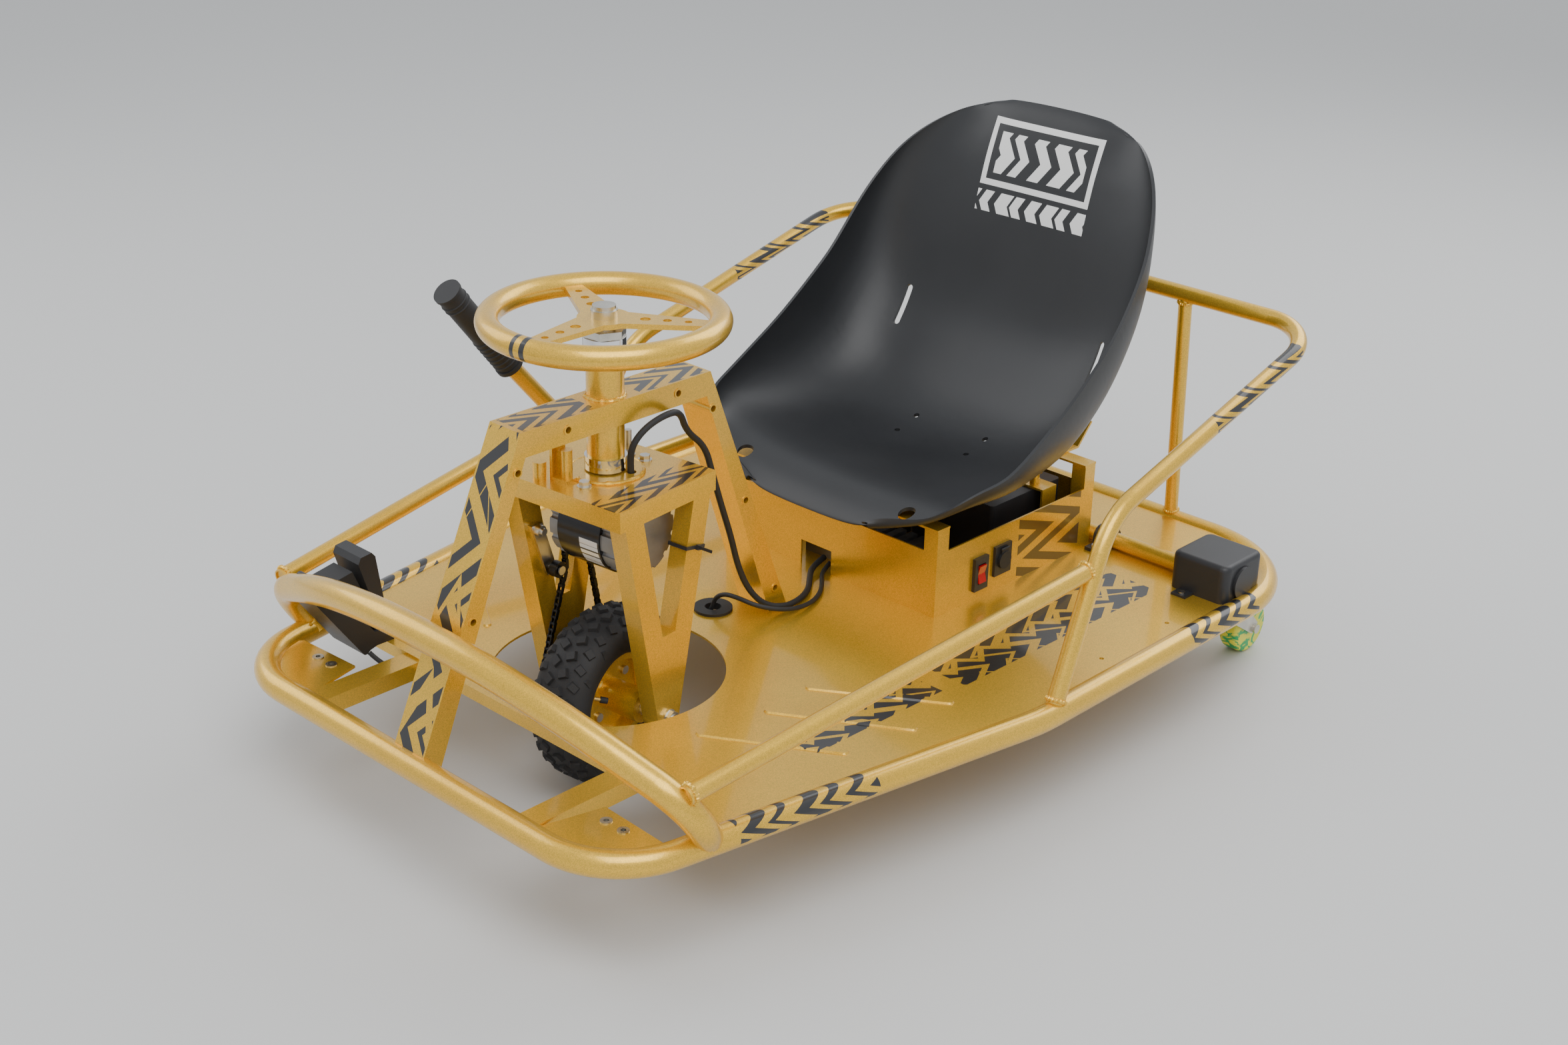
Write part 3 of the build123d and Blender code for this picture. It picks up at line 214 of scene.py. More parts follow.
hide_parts("motor_cable")
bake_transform(motor_cable)


# Stage: a plain pale floor, and soft studio lights from above and both sides.
stage_mesh = bpy.data.meshes.new("floor")
ground = bmesh.new()
bmesh.ops.create_grid(ground, x_segments=1, y_segments=1, size=20.0)
ground.to_mesh(stage_mesh)
ground.free()
stage = bpy.data.objects.new("floor", stage_mesh)
scene.collection.objects.link(stage)
stage_mesh.materials.append(new_material("pale_floor", (0.62, 0.62, 0.61), 0.7)[0])
world = bpy.data.worlds.new("studio")
scene.world = world
world.use_nodes = True
world.node_tree.nodes["Background"].inputs["Color"].default_value = (0.93, 0.96, 1.0, 1)
world.node_tree.nodes["Background"].inputs["Strength"].default_value = 0.85
for name, at, size, power in (("key_light", (1.6, -1.2, 3.0), 2.6, 70),
                              ("fill_light", (-2.6, -1.0, 2.2), 2.2, 28),
                              ("back_light", (0.2, 2.6, 2.4), 2.4, 45)):
    lamp_data = bpy.data.lights.new(name, "AREA")
    lamp_data.size = size
    lamp_data.energy = power
    lamp = bpy.data.objects.new(name, lamp_data)
    lamp.location = at
    lamp.rotation_euler = (Vector((0, 0, 0.2)) - Vector(at)).to_track_quat("-Z", "Y").to_euler()
    scene.collection.objects.link(lamp)


# Gold paint: a clear-coated metallic paint with fine flakes, on the whole welded
# frame, the floor, the fork, the rim and the steering wheel.
def math_node(tree, operation, a, b=None, c=None):
    """One Math node; numbers set its sockets and node outputs are linked."""
    made = tree.nodes.new("ShaderNodeMath")
    made.operation = operation
    for socket, value in zip(made.inputs, (a, b, c)):
        if value is None:
            continue
        if isinstance(value, (int, float)):
            socket.default_value = value
        else:
            tree.links.new(value, socket)
    return made.outputs[0]


def paint_group():
    """Metallic paint: flakes, slow orange peel, and brown in the pits of the coat."""
    group = bpy.data.node_groups.new("flake_paint", "ShaderNodeTree")
    face = group.interface
    face.new_socket(name="Color", in_out="INPUT", socket_type="NodeSocketColor")
    face.new_socket(name="Deep Color", in_out="INPUT", socket_type="NodeSocketColor")
    face.new_socket(name="Roughness", in_out="INPUT", socket_type="NodeSocketFloat")
    for label, kind in (("Color", "NodeSocketColor"), ("Roughness", "NodeSocketFloat"),
                        ("Height", "NodeSocketFloat")):
        face.new_socket(name=label, in_out="OUTPUT", socket_type=kind)
    nodes = group.nodes
    links = group.links
    given = nodes.new("NodeGroupInput")
    out = nodes.new("NodeGroupOutput")
    place = nodes.new("ShaderNodeTexCoord")
    flakes = nodes.new("ShaderNodeTexVoronoi")
    flakes.inputs["Scale"].default_value = 1400
    links.new(place.outputs["Object"], flakes.inputs["Vector"])
    peel = nodes.new("ShaderNodeTexNoise")
    peel.inputs["Scale"].default_value = 260
    links.new(place.outputs["Object"], peel.inputs["Vector"])
    slow = nodes.new("ShaderNodeTexNoise")
    slow.inputs["Scale"].default_value = 6
    slow.inputs["Detail"].default_value = 6
    links.new(place.outputs["Object"], slow.inputs["Vector"])
    bright = nodes.new("ShaderNodeMapRange")
    bright.inputs["To Min"].default_value = 0.72
    bright.inputs["To Max"].default_value = 1.25
    links.new(flakes.outputs["Color"], bright.inputs["Value"])
    tint = nodes.new("ShaderNodeVectorMath")
    tint.operation = "SCALE"
    mix = nodes.new("ShaderNodeMix")
    mix.data_type = "RGBA"
    depth = nodes.new("ShaderNodeMapRange")
    depth.inputs["From Min"].default_value = 0.45
    depth.inputs["From Max"].default_value = 0.72
    depth.inputs["To Max"].default_value = 0.35
    links.new(slow.outputs["Fac"], depth.inputs["Value"])
    links.new(depth.outputs["Result"], mix.inputs["Factor"])
    links.new(given.outputs["Color"], mix.inputs[6])
    links.new(given.outputs["Deep Color"], mix.inputs[7])
    links.new(mix.outputs[2], tint.inputs[0])
    links.new(bright.outputs["Result"], tint.inputs["Scale"])
    links.new(tint.outputs["Vector"], out.inputs["Color"])
    links.new(math_node(group, "MULTIPLY_ADD", slow.outputs["Fac"], 0.18,
                        given.outputs["Roughness"]), out.inputs["Roughness"])
    links.new(peel.outputs["Fac"], out.inputs["Height"])
    return group


flake_paint = paint_group()
gold = (0.83, 0.50, 0.045)
deep_gold = (0.60, 0.31, 0.020)


def gold_paint(name):
    """Gold paint, with its nodes, so that a decal can be laid over it."""
    made, tree, shader = new_material(name, gold, 0.3, 0.72)
    shader.inputs["Coat Weight"].default_value = 0.6
    shader.inputs["Coat Roughness"].default_value = 0.08
    group = tree.nodes.new("ShaderNodeGroup")
    group.node_tree = flake_paint
    group.inputs["Color"].default_value = (*gold, 1)
    group.inputs["Deep Color"].default_value = (*deep_gold, 1)
    group.inputs["Roughness"].default_value = 0.24
    raised = tree.nodes.new("ShaderNodeBump")
    raised.inputs["Distance"].default_value = 0.00025
    raised.inputs["Strength"].default_value = 0.35
    tree.links.new(group.outputs["Color"], shader.inputs["Base Color"])
    tree.links.new(group.outputs["Roughness"], shader.inputs["Roughness"])
    tree.links.new(group.outputs["Height"], raised.inputs["Height"])
    tree.links.new(raised.outputs["Normal"], shader.inputs["Normal"])
    return made, tree, shader, group


plain_gold = gold_paint("gold_paint")[0]
paint(plain_gold, "front_bars", "corner_gussets", "front_hoop", "side_rails", "rear_struts",
      "arch_sleeves", "head_tube", "corner_posts", "seat_brackets", "fork_legs", "stop_bracket",
      "wheel_spider", "wheel_rim", "wheel_hub", "drift_shaft", "hand_lever", "battery_clamp")


# Vinyl decals: black cut foil with jagged bolts, laid on the arch, rails, floor,
# seat box and fork plate, so they lie in the paint's own material.
def zigzag_group():
    """A mask of jagged bars along a line: Along and Across are places in metres."""
    group = bpy.data.node_groups.new("zigzag", "ShaderNodeTree")
    face = group.interface
    for label in ("Along", "Across", "Period", "Width", "Jag", "Fold"):
        face.new_socket(name=label, in_out="INPUT", socket_type="NodeSocketFloat")
    face.new_socket(name="Mask", in_out="OUTPUT", socket_type="NodeSocketFloat")
    given = group.nodes.new("NodeGroupInput").outputs
    out = group.nodes.new("NodeGroupOutput")
    folded = math_node(group, "DIVIDE", math_node(group, "PINGPONG", given["Across"],
                                                  given["Fold"]), given["Fold"])
    step = math_node(group, "DIVIDE", given["Along"], given["Period"])
    bars = math_node(group, "MULTIPLY_ADD", folded, given["Jag"], step)
    cell = math_node(group, "FLOOR", bars)
    swing = math_node(group, "MULTIPLY", math_node(group, "SINE", math_node(
        group, "MULTIPLY", cell, 2.4)), 0.16)
    limit = math_node(group, "ADD", given["Width"], swing)
    group.links.new(math_node(group, "LESS_THAN", math_node(group, "FRACT", bars), limit),
                    out.inputs["Mask"])
    return group


zigzag = zigzag_group()


def bolts(tree, along, across, period, width, jag, fold):
    """The zigzag group placed in a material."""
    made = tree.nodes.new("ShaderNodeGroup")
    made.node_tree = zigzag
    for label, value in (("Along", along), ("Across", across), ("Period", period),
                         ("Width", width), ("Jag", jag), ("Fold", fold)):
        if isinstance(value, (int, float)):
            made.inputs[label].default_value = value
        else:
            tree.links.new(value, made.inputs[label])
    return made.outputs["Mask"]


def place_on(tree, turned=0.0, about=(0, 0, 0)):
    """The place on a piece as x, y and z, turned about a vertical line where asked."""
    at = tree.nodes.new("ShaderNodeTexCoord").outputs["Object"]
    for shift, angle in ((Vector(about) * -1, 0.0), (Vector(), turned)):
        mapping = tree.nodes.new("ShaderNodeMapping")
        mapping.inputs["Location"].default_value = shift
        mapping.inputs["Rotation"].default_value = (0, 0, angle)
        tree.links.new(at, mapping.inputs["Vector"])
        at = mapping.outputs["Vector"]
    split = tree.nodes.new("ShaderNodeSeparateXYZ")
    tree.links.new(at, split.inputs["Vector"])
    return split.outputs


def within(tree, value, low, high):
    """1 where a value lies between two limits."""
    return math_node(tree, "MULTIPLY", math_node(tree, "GREATER_THAN", value, low),
                     math_node(tree, "LESS_THAN", value, high))


def all_of(tree, *masks):
    """1 where every mask is 1."""
    result = masks[0]
    for mask in masks[1:]:
        result = math_node(tree, "MULTIPLY", result, mask)
    return result


def lay_foil(tree, shader, under, mask, foil=(0.012, 0.012, 0.013)):
    """Black foil over the paint where the mask is 1."""
    colour = tree.nodes.new("ShaderNodeMix")
    colour.data_type = "RGBA"
    tree.links.new(mask, colour.inputs["Factor"])
    tree.links.new(under.outputs["Color"], colour.inputs[6])
    colour.inputs[7].default_value = (*foil, 1)
    tree.links.new(colour.outputs[2], shader.inputs["Base Color"])
    tree.links.new(math_node(tree, "MULTIPLY_ADD", mask, -0.72, 0.72), shader.inputs["Metallic"])


def sloped(tree, place, a, b, c):
    """a*y + b*z + c, for distances to and along a sloping face."""
    return math_node(tree, "MULTIPLY_ADD", place["Y"], a,
                     math_node(tree, "MULTIPLY_ADD", place["Z"], b, c))


# Steering arch: jagged foil up the outer face of the front leg and on the top
# either side of the head tube.
arch_gold, tree, shader, under = gold_paint("arch_paint")
place = place_on(tree)
leg = Vector((0, 0.1565, 0.359)).normalized()
off_face = sloped(tree, place, -leg.z, leg.y, -(0.4395 * leg.z + 0.496 * leg.y))
up_leg = sloped(tree, place, leg.y, leg.z, 0)
jag = bolts(tree, place["X"], up_leg, 0.036, 0.42, 1.9, 0.075)
cut = bolts(tree, up_leg, place["X"], 0.11, 0.86, 0.7, 0.03)
front_mask = all_of(tree, within(tree, off_face, -0.0012, 0.002), jag, cut,
                    within(tree, place["X"], -0.0235, 0.0235))
top_jag = bolts(tree, place["Y"], place["X"], 0.034, 0.5, 1.3, 0.021)
off_tube = math_node(tree, "ABSOLUTE", math_node(tree, "ADD", place["Y"], 0.2925))
top_mask = all_of(tree, math_node(tree, "GREATER_THAN", place["Z"], 0.4952), top_jag,
                  within(tree, off_tube, 0.035, 0.14), within(tree, place["X"], -0.0235, 0.0235))
lay_foil(tree, shader, under, math_node(tree, "MAXIMUM", front_mask, top_mask))
paint(arch_gold, "steering_arch")

# Base rail and side hoop: short lengths of foil with slanted, jagged bars, near
# the nose and the tail.
rail_gold, tree, shader, under = gold_paint("rail_paint")
place = place_on(tree)
bars = bolts(tree, place["Y"], place["Z"], 0.034, 0.46, 0.9, 0.011)
outside = math_node(tree, "GREATER_THAN", math_node(tree, "ABSOLUTE", place["X"]), 0.3)
front_part = within(tree, place["Y"], -0.44, -0.255)
rear_part = within(tree, place["Y"], 0.29, 0.44)
upper = math_node(tree, "GREATER_THAN", place["Z"], 0.13)
lay_foil(tree, shader, under, all_of(tree, bars, outside, upper,
                                     math_node(tree, "MAXIMUM", front_part, rear_part)))
paint(rail_gold, "base_rail")
hoop_gold, tree, shader, under = gold_paint("hoop_paint")
place = place_on(tree)
bars = bolts(tree, place["Y"], place["Z"], 0.036, 0.46, 1.1, 0.009)
outside = math_node(tree, "GREATER_THAN", math_node(tree, "ABSOLUTE", place["X"]), 0.38)
lay_foil(tree, shader, under, all_of(tree, bars, outside,
                                     within(tree, place["Y"], 0.33, 0.52)))
paint(hoop_gold, "side_hoop")

# Floor: two long rows of jagged foil beside the seat box, on the driver's left,
# cut into bold blocks.
floor_gold, tree, shader, under = gold_paint("floor_paint")
place = place_on(tree)
row_line = math_node(tree, "MULTIPLY_ADD", place["Y"], -0.02, place["X"])
teeth = bolts(tree, place["Y"], row_line, 0.050, 0.70, 0.95, 0.026)
split_row = bolts(tree, row_line, place["Y"], 0.038, 0.86, 0.60, 0.025)
first_row = all_of(tree, within(tree, place["Y"], -0.265, -0.045),
                   within(tree, row_line, 0.268, 0.318))
second_row = all_of(tree, within(tree, place["Y"], -0.015, 0.37),
                    within(tree, row_line, 0.252, 0.328))
lay_foil(tree, shader, under, all_of(
    tree, teeth, split_row, math_node(tree, "GREATER_THAN", place["Z"], 0.1435),
    math_node(tree, "MAXIMUM", first_row, second_row)))
paint(floor_gold, "floor_plate")

# Seat box: a smoked, half-clear jagged bolt on the rear half of each side
# panel.
box_gold, tree, shader, under = gold_paint("box_paint")
place = place_on(tree)
smoke = bolts(tree, place["Y"], place["Z"], 0.075, 0.55, 1.35, 0.034)
side_face = math_node(tree, "GREATER_THAN", math_node(tree, "ABSOLUTE", place["X"]), 0.1855)
lay_foil(tree, shader, under, all_of(tree, smoke, side_face,
                                     within(tree, place["Y"], 0.262, 0.396)),
         (0.10, 0.055, 0.012))
paint(box_gold, "box_panels")

# Fork plate: a strip of jagged foil along its left edge, turned with the
# fork.
plate_gold, tree, shader, under = gold_paint("plate_paint")
place = place_on(tree, math.radians(-5.8), (0, -0.2925, 0))
strip = bolts(tree, place["Y"], place["X"], 0.042, 0.5, 1.5, 0.02)
lay_foil(tree, shader, under, all_of(tree, strip, within(tree, place["X"], 0.052, 0.093),
                                     math_node(tree, "GREATER_THAN", place["Z"], 0.4022)))
paint(plate_gold, "fork_plate")

# Steering wheel: round gold tube with two narrow bands of black tape on its
# front, which mark straight ahead.
ring_gold, tree, shader, under = gold_paint("ring_paint")
place = place_on(tree, math.radians(83), (0, -0.2925, 0))
bands = math_node(tree, "MAXIMUM", within(tree, place["Y"], 0.004, 0.011),
                  within(tree, place["Y"], -0.010, -0.004))
lay_foil(tree, shader, under, all_of(tree, bands,
                                     math_node(tree, "GREATER_THAN", place["X"], 0.05)))
paint(ring_gold, "steering_wheel")

# Black moulded plastic: pedal, caster covers, saddle clamps, switch and port.
black = grained("black_plastic", (0.022, 0.022, 0.024), 0.42, 0, 1200, 12, 0.2)[0]
paint(black, "saddle_clamps", "caster_covers", "pedal_base", "pedal_pad", "switch_housing",
      "charge_port", "batteries")

# Fasteners, axle and caster forks: zinc plate, bright and slightly yellow in
# places.
zinc = grained("zinc_plate", (0.62, 0.60, 0.54), 0.3, 1.0, 700, 40, 0.3)[0]
paint(zinc, "frame_screws", "plate_bolts", "fork_axle", "fork_nuts", "rim_bolts",
      "chain_tensioner", "caster_fork_left", "caster_fork_right")

# Headset and steerer: polished chrome on the cups, the locknut, the dome nut and
# the short length of steerer that shows below the wheel.
chrome = grained("chrome_plate", (0.72, 0.72, 0.73), 0.12, 1.0, 500, 30, 0.1, 0.00005)[0]
paint(chrome, "headset", "steerer_tube")

# Chain drive: oiled black steel on the sprockets, the tension roller and the
# chain, with patches of dull dust between oily ones.
chain_steel = grained("oiled_steel", (0.035, 0.035, 0.036), 0.35, 0.9, 800, 60, 0.4)[0]
paint(chain_steel, "drive_chain", "wheel_sprocket", "motor_sprocket", "tension_roller")

# Motor: gloss black case with a white tag of blank lines on its lower front, and
# grey cast end bells.
case_black, tree, shader, group = grained("motor_black", (0.015, 0.015, 0.016), 0.22, 0.2, 400,
                                          20, 0.1)
place = place_on(tree, math.radians(-5.8), (0, -0.2925, 0))
label_area = all_of(tree, within(tree, place["X"], 0.004, 0.032),
                    within(tree, place["Z"], 0.300, 0.338),
                    math_node(tree, "LESS_THAN", place["Y"], -0.02))
lines = math_node(tree, "SUBTRACT", 1.0, bolts(tree, place["Z"], place["X"], 0.0075, 0.22, 0, 1))
tag = tree.nodes.new("ShaderNodeMix")
tag.data_type = "RGBA"
tree.links.new(all_of(tree, label_area, lines), tag.inputs["Factor"])
tree.links.new(group.outputs["Color"], tag.inputs[6])
tag.inputs[7].default_value = (0.75, 0.75, 0.73, 1)
tree.links.new(tag.outputs[2], shader.inputs["Base Color"])
paint(case_black, "motor_case")
cast = grained("cast_alloy", (0.30, 0.31, 0.32), 0.5, 0.85, 900, 30, 0.3, 0.0005)[0]
paint(cast, "motor_bells", "motor_controller")

# Power switch: a glossy red rocker in its black housing on the seat box's
# left side panel.
red = grained("rocker_red", (0.55, 0.015, 0.015), 0.25)[0]
paint(red, "switch_rocker")

# Caster wheels: cast yellow urethane with green swirls run through it, on the
# two tilted casters under the tail.
urethane, tree, shader, group = grained("yellow_urethane", (0.85, 0.80, 0.05), 0.35)
place = tree.nodes.new("ShaderNodeTexCoord")
swirl = tree.nodes.new("ShaderNodeTexNoise")
swirl.inputs["Scale"].default_value = 38
swirl.inputs["Distortion"].default_value = 2.2
tree.links.new(place.outputs["Object"], swirl.inputs["Vector"])
streaks = tree.nodes.new("ShaderNodeMapRange")
streaks.inputs["From Min"].default_value = 0.50
streaks.inputs["From Max"].default_value = 0.56
tree.links.new(swirl.outputs["Fac"], streaks.inputs["Value"])
mixed = tree.nodes.new("ShaderNodeMix")
mixed.data_type = "RGBA"
tree.links.new(streaks.outputs["Result"], mixed.inputs["Factor"])
tree.links.new(group.outputs["Color"], mixed.inputs[6])
mixed.inputs[7].default_value = (0.02, 0.42, 0.12, 1)
tree.links.new(mixed.outputs[2], shader.inputs["Base Color"])
paint(urethane, "caster_wheel_left", "caster_wheel_right")

# Tyre rubber: dull black with a coarse, dusty grain, for the carcass and its
# tread blocks.
tyre_rubber = grained("tyre_rubber", (0.016, 0.016, 0.017), 0.68, 0, 600, 20, 0.3, 0.0004)[0]
paint(tyre_rubber, "front_tyre")

# Seat: one rotomoulded shell of satin black plastic, with a white sticker high
# on its back: a plain frame round slanted bars, over a row of blocks.
seat_black, tree, shader, group = grained("seat_plastic", (0.02, 0.021, 0.023), 0.40, 0, 1500,
                                          5, 0.15, 0.0001)
place = place_on(tree)
side = math_node(tree, "ABSOLUTE", place["X"])
facing = tree.nodes.new("ShaderNodeNewGeometry")
face_way = tree.nodes.new("ShaderNodeSeparateXYZ")
tree.links.new(facing.outputs["Normal"], face_way.inputs["Vector"])
to_front = math_node(tree, "LESS_THAN", face_way.outputs["Y"], -0.2)
outer = all_of(tree, math_node(tree, "LESS_THAN", side, 0.092),
               within(tree, place["Z"], 0.583, 0.672))
inner = all_of(tree, math_node(tree, "LESS_THAN", side, 0.084),
               within(tree, place["Z"], 0.591, 0.664))
ring = math_node(tree, "SUBTRACT", outer, inner)
bars = all_of(tree, bolts(tree, place["X"], place["Z"], 0.034, 0.55, 0.5, 0.024),
              math_node(tree, "LESS_THAN", side, 0.074), within(tree, place["Z"], 0.600, 0.655))
blocks = all_of(tree, bolts(tree, place["X"], place["Z"], 0.026, 0.68, 0.35, 0.016),
                math_node(tree, "LESS_THAN", side, 0.092), within(tree, place["Z"], 0.548, 0.576))
white = all_of(tree, to_front, math_node(tree, "MAXIMUM", ring,
                                         math_node(tree, "MAXIMUM", bars, blocks)))
sticker = tree.nodes.new("ShaderNodeMix")
sticker.data_type = "RGBA"
tree.links.new(white, sticker.inputs["Factor"])
tree.links.new(group.outputs["Color"], sticker.inputs[6])
sticker.inputs[7].default_value = (0.80, 0.80, 0.79, 1)
tree.links.new(sticker.outputs[2], shader.inputs["Base Color"])
paint(seat_black, "seat_shell")

# Seat outline: the moulding is raised a little at its upper corners, so that its
# top edge is one full round curve.
corner_at = 0.120
corner_spread = 0.032
corner_rise = 0.0071
seat_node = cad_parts["seat_shell"]
moulding = seat_node.data.copy()
moulding.transform(seat_node.matrix_world)
for vert in moulding.vertices:
    near = math.exp(-((abs(vert.co.x) - corner_at) / corner_spread) ** 2)
    high = min(1.0, max(0.0, (vert.co.z - 0.615) / 0.055))
    rise = corner_rise * near * high * high * (3 - 2 * high)
    vert.co.z += rise
    vert.co.y += rise * 1.1
seat_piece = bpy.data.objects.new("seat_moulding", moulding)
scene.collection.objects.link(seat_piece)
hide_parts("seat_shell")
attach(seat_piece, "chassis")


# Front tyre: a 9 inch pneumatic tyre with rows of chevron blocks on its crown
# and shoulders, moulded with the carcass and turned to the fork's angle.
def finish_piece(name, mesh, material, body, *nodes):
    """Link a finished bmesh as an object that rides a body and may replace CAD nodes."""
    bmesh.ops.recalc_face_normals(mesh, faces=mesh.faces)
    data = bpy.data.meshes.new(name)
    mesh.to_mesh(data)
    mesh.free()
    data.materials.append(material)
    for polygon in data.polygons:
        polygon.use_smooth = True
    data.set_sharp_from_angle(angle=math.radians(38))
    piece = bpy.data.objects.new(name, data)
    scene.collection.objects.link(piece)
    if nodes:
        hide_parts(*nodes)
    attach(piece, body)
    return piece


fork_turn = Matrix.Translation((0, -0.2925, 0)) @ Matrix.Rotation(math.radians(5.8), 4, "Z")
axle_height = 0.1115


def tyre_mesh():
    """Carcass spun about the axle, then blocks round its crown."""
    mesh = bmesh.new()
    outline = [(0.0205, 0.0575), (0.026, 0.061), (0.034, 0.070), (0.0385, 0.081), (0.0385, 0.089),
               (0.0345, 0.097), (0.026, 0.1035), (0.013, 0.1070), (0.0, 0.1080)]
    outline += [(-x, r) for x, r in reversed(outline[:-1])]
    verts = [mesh.verts.new((x, 0, r)) for x, r in outline]
    edges = [mesh.edges.new((a, b)) for a, b in zip(verts, verts[1:])]
    edges.append(mesh.edges.new((verts[-1], verts[0])))
    bmesh.ops.spin(mesh, geom=verts + edges, cent=(0, 0, 0), axis=(1, 0, 0),
                   angle=math.tau, steps=72, use_merge=True)
    bmesh.ops.remove_doubles(mesh, verts=mesh.verts, dist=1e-5)
    rows = 30
    tilt = {"crown": (0.0085, 0.1085, 0.0), "shoulder": (0.0265, 0.1035, 38.0),
            "side": (0.0365, 0.0925, 72.0)}
    for step in range(rows):
        for label, (x, r, roll) in tilt.items():
            for side in (-1, 1):
                if label == "side" and step % 2:
                    continue
                size = {"crown": (0.0135, 0.0125, 0.0058), "shoulder": (0.013, 0.0105, 0.0052),
                        "side": (0.012, 0.006, 0.0032)}[label]
                block = bmesh.ops.create_cube(mesh, size=1.0)["verts"]
                bmesh.ops.scale(mesh, verts=block, vec=size)
                top = [v for v in block if v.co.z > 0]
                bmesh.ops.scale(mesh, verts=top, vec=(0.80, 0.78, 1.0))
                slant = 28 if label == "crown" else -24
                bmesh.ops.rotate(mesh, verts=block, cent=(0, 0, 0),
                                 matrix=Matrix.Rotation(math.radians(slant * side), 3, "Z"))
                bmesh.ops.rotate(mesh, verts=block, cent=(0, 0, 0),
                                 matrix=Matrix.Rotation(math.radians(roll * side), 3, "Y"))
                bmesh.ops.translate(mesh, verts=block, vec=(side * x, 0, r))
                phase = step + (0.5 if (side > 0) == (label != "shoulder") else 0.0)
                bmesh.ops.rotate(mesh, verts=block, cent=(0, 0, 0),
                                 matrix=Matrix.Rotation(math.tau * phase / rows, 3, "X"))
    return mesh


tyre = tyre_mesh()
bmesh.ops.transform(tyre, verts=tyre.verts,
                    matrix=fork_turn @ Matrix.Translation((0, 0, axle_height)))
tyre_piece = finish_piece("tyre_tread", tyre, tyre_rubber, "front_wheel", "front_tyre")


# Drive chain: bushed roller chain of 8 mm pitch, round the motor's small
# sprocket, the wheel's large one and pressed back by the tension roller.
chain_x = -0.057


def chain_line(count):
    """Points spaced evenly along the chain's closed pitch line, and its length."""
    stops = [(Vector((0, axle_height)), 0.061), (Vector((0, 0.338)), 0.014),
             (Vector((-0.025, 0.268)), -0.0133)]
    touch = []
    for (c1, r1), (c2, r2) in zip(stops, stops[1:] + stops[:1]):
        reach = c2 - c1
        angle = math.atan2(reach.y, reach.x) + math.acos((r2 - r1) / reach.length)
        left = Vector((math.cos(angle), math.sin(angle)))
        touch.append((c1 - left * r1, c2 - left * r2))
    path = []
    for index, (centre, radius) in enumerate(stops):
        start = touch[index - 1][1] - centre
        end = touch[index][0] - centre
        a = math.atan2(start.y, start.x)
        sweep = math.atan2(end.y, end.x) - a
        sweep = sweep % math.tau if radius > 0 else -((-sweep) % math.tau)
        for k in range(25):
            bend = a + sweep * k / 24
            path.append(centre + Vector((math.cos(bend), math.sin(bend))) * abs(radius))
    path.append(path[0])
    lengths = [(q - p).length for p, q in zip(path, path[1:])]
    total = sum(lengths)
    found = []
    walked = 0.0
    piece = 0
    for k in range(count):
        goal = total * k / count
        while walked + lengths[piece] < goal:
            walked += lengths[piece]
            piece += 1
        found.append(path[piece].lerp(path[piece + 1], (goal - walked) / lengths[piece]))
    return found, total


pitch = 0.008
length = chain_line(8)[1]
links = int(round(length / pitch / 2)) * 2
joints_at, length = chain_line(links)
chain = bmesh.new()
for index, here in enumerate(joints_at):
    after = joints_at[(index + 1) % links]
    along = after - here
    slope = math.atan2(along.y, along.x)
    pin = bmesh.ops.create_cone(chain, cap_ends=True, segments=10, radius1=0.0023,
                                radius2=0.0023, depth=0.0074)["verts"]
    bmesh.ops.rotate(chain, verts=pin, cent=(0, 0, 0), matrix=Matrix.Rotation(math.pi / 2, 3, "Y"))
    bmesh.ops.translate(chain, verts=pin, vec=(chain_x, here.x, here.y))
    offset = 0.0031 if index % 2 else 0.0022
    for side in (-1, 1):
        plate = bmesh.ops.create_circle(chain, cap_ends=True, segments=12, radius=0.0029)["verts"]
        for vert in plate:
            vert.co.x += math.copysign(along.length / 2, vert.co.x)
            if abs(vert.co.x) < 0.005:
                vert.co.y *= 0.82
        face = [f for f in chain.faces if f.verts[0] in plate][:1]
        grown = bmesh.ops.extrude_face_region(chain, geom=face)["geom"]
        bmesh.ops.translate(chain, verts=[g for g in grown if isinstance(g, bmesh.types.BMVert)],
                            vec=(0, 0, 0.0009))
        whole = list(set(plate) | {g for g in grown if isinstance(g, bmesh.types.BMVert)})
        middle = (here + after) / 2
        swing = Matrix.Translation((chain_x + side * offset, middle.x, middle.y)) @ (
            Matrix.Rotation(slope, 4, "X") @ Matrix(((0, 0, 1, 0), (1, 0, 0, 0), (0, 1, 0, 0),
                                                     (0, 0, 0, 1))))
        bmesh.ops.transform(chain, verts=whole, matrix=swing)
bmesh.ops.transform(chain, verts=chain.verts, matrix=fork_turn)
chain_piece = finish_piece("chain_links", chain, chain_steel, "fork", "drive_chain")


# Sprocket teeth: both sprockets carry pointed teeth round their rims, which reach
# between the chain's rollers.
def toothed(name, teeth, root, tip, at, body):
    """A ring of pointed teeth round a sprocket."""
    mesh = bmesh.new()
    for k in range(teeth):
        tooth = bmesh.ops.create_cone(mesh, cap_ends=True, segments=4, radius1=0.0030,
                                      radius2=0.0009, depth=tip - root)["verts"]
        bmesh.ops.scale(mesh, verts=tooth, vec=(0.55, 0.9, 1))
        bmesh.ops.translate(mesh, verts=tooth, vec=(0, 0, (tip + root) / 2))
        bmesh.ops.rotate(mesh, verts=tooth, cent=(0, 0, 0),
                         matrix=Matrix.Rotation(math.tau * (k + 0.5) / teeth, 3, "X"))
    bmesh.ops.translate(mesh, verts=mesh.verts, vec=(chain_x, 0, at))
    bmesh.ops.transform(mesh, verts=mesh.verts, matrix=fork_turn)
    piece = finish_piece(name, mesh, chain_steel, body)


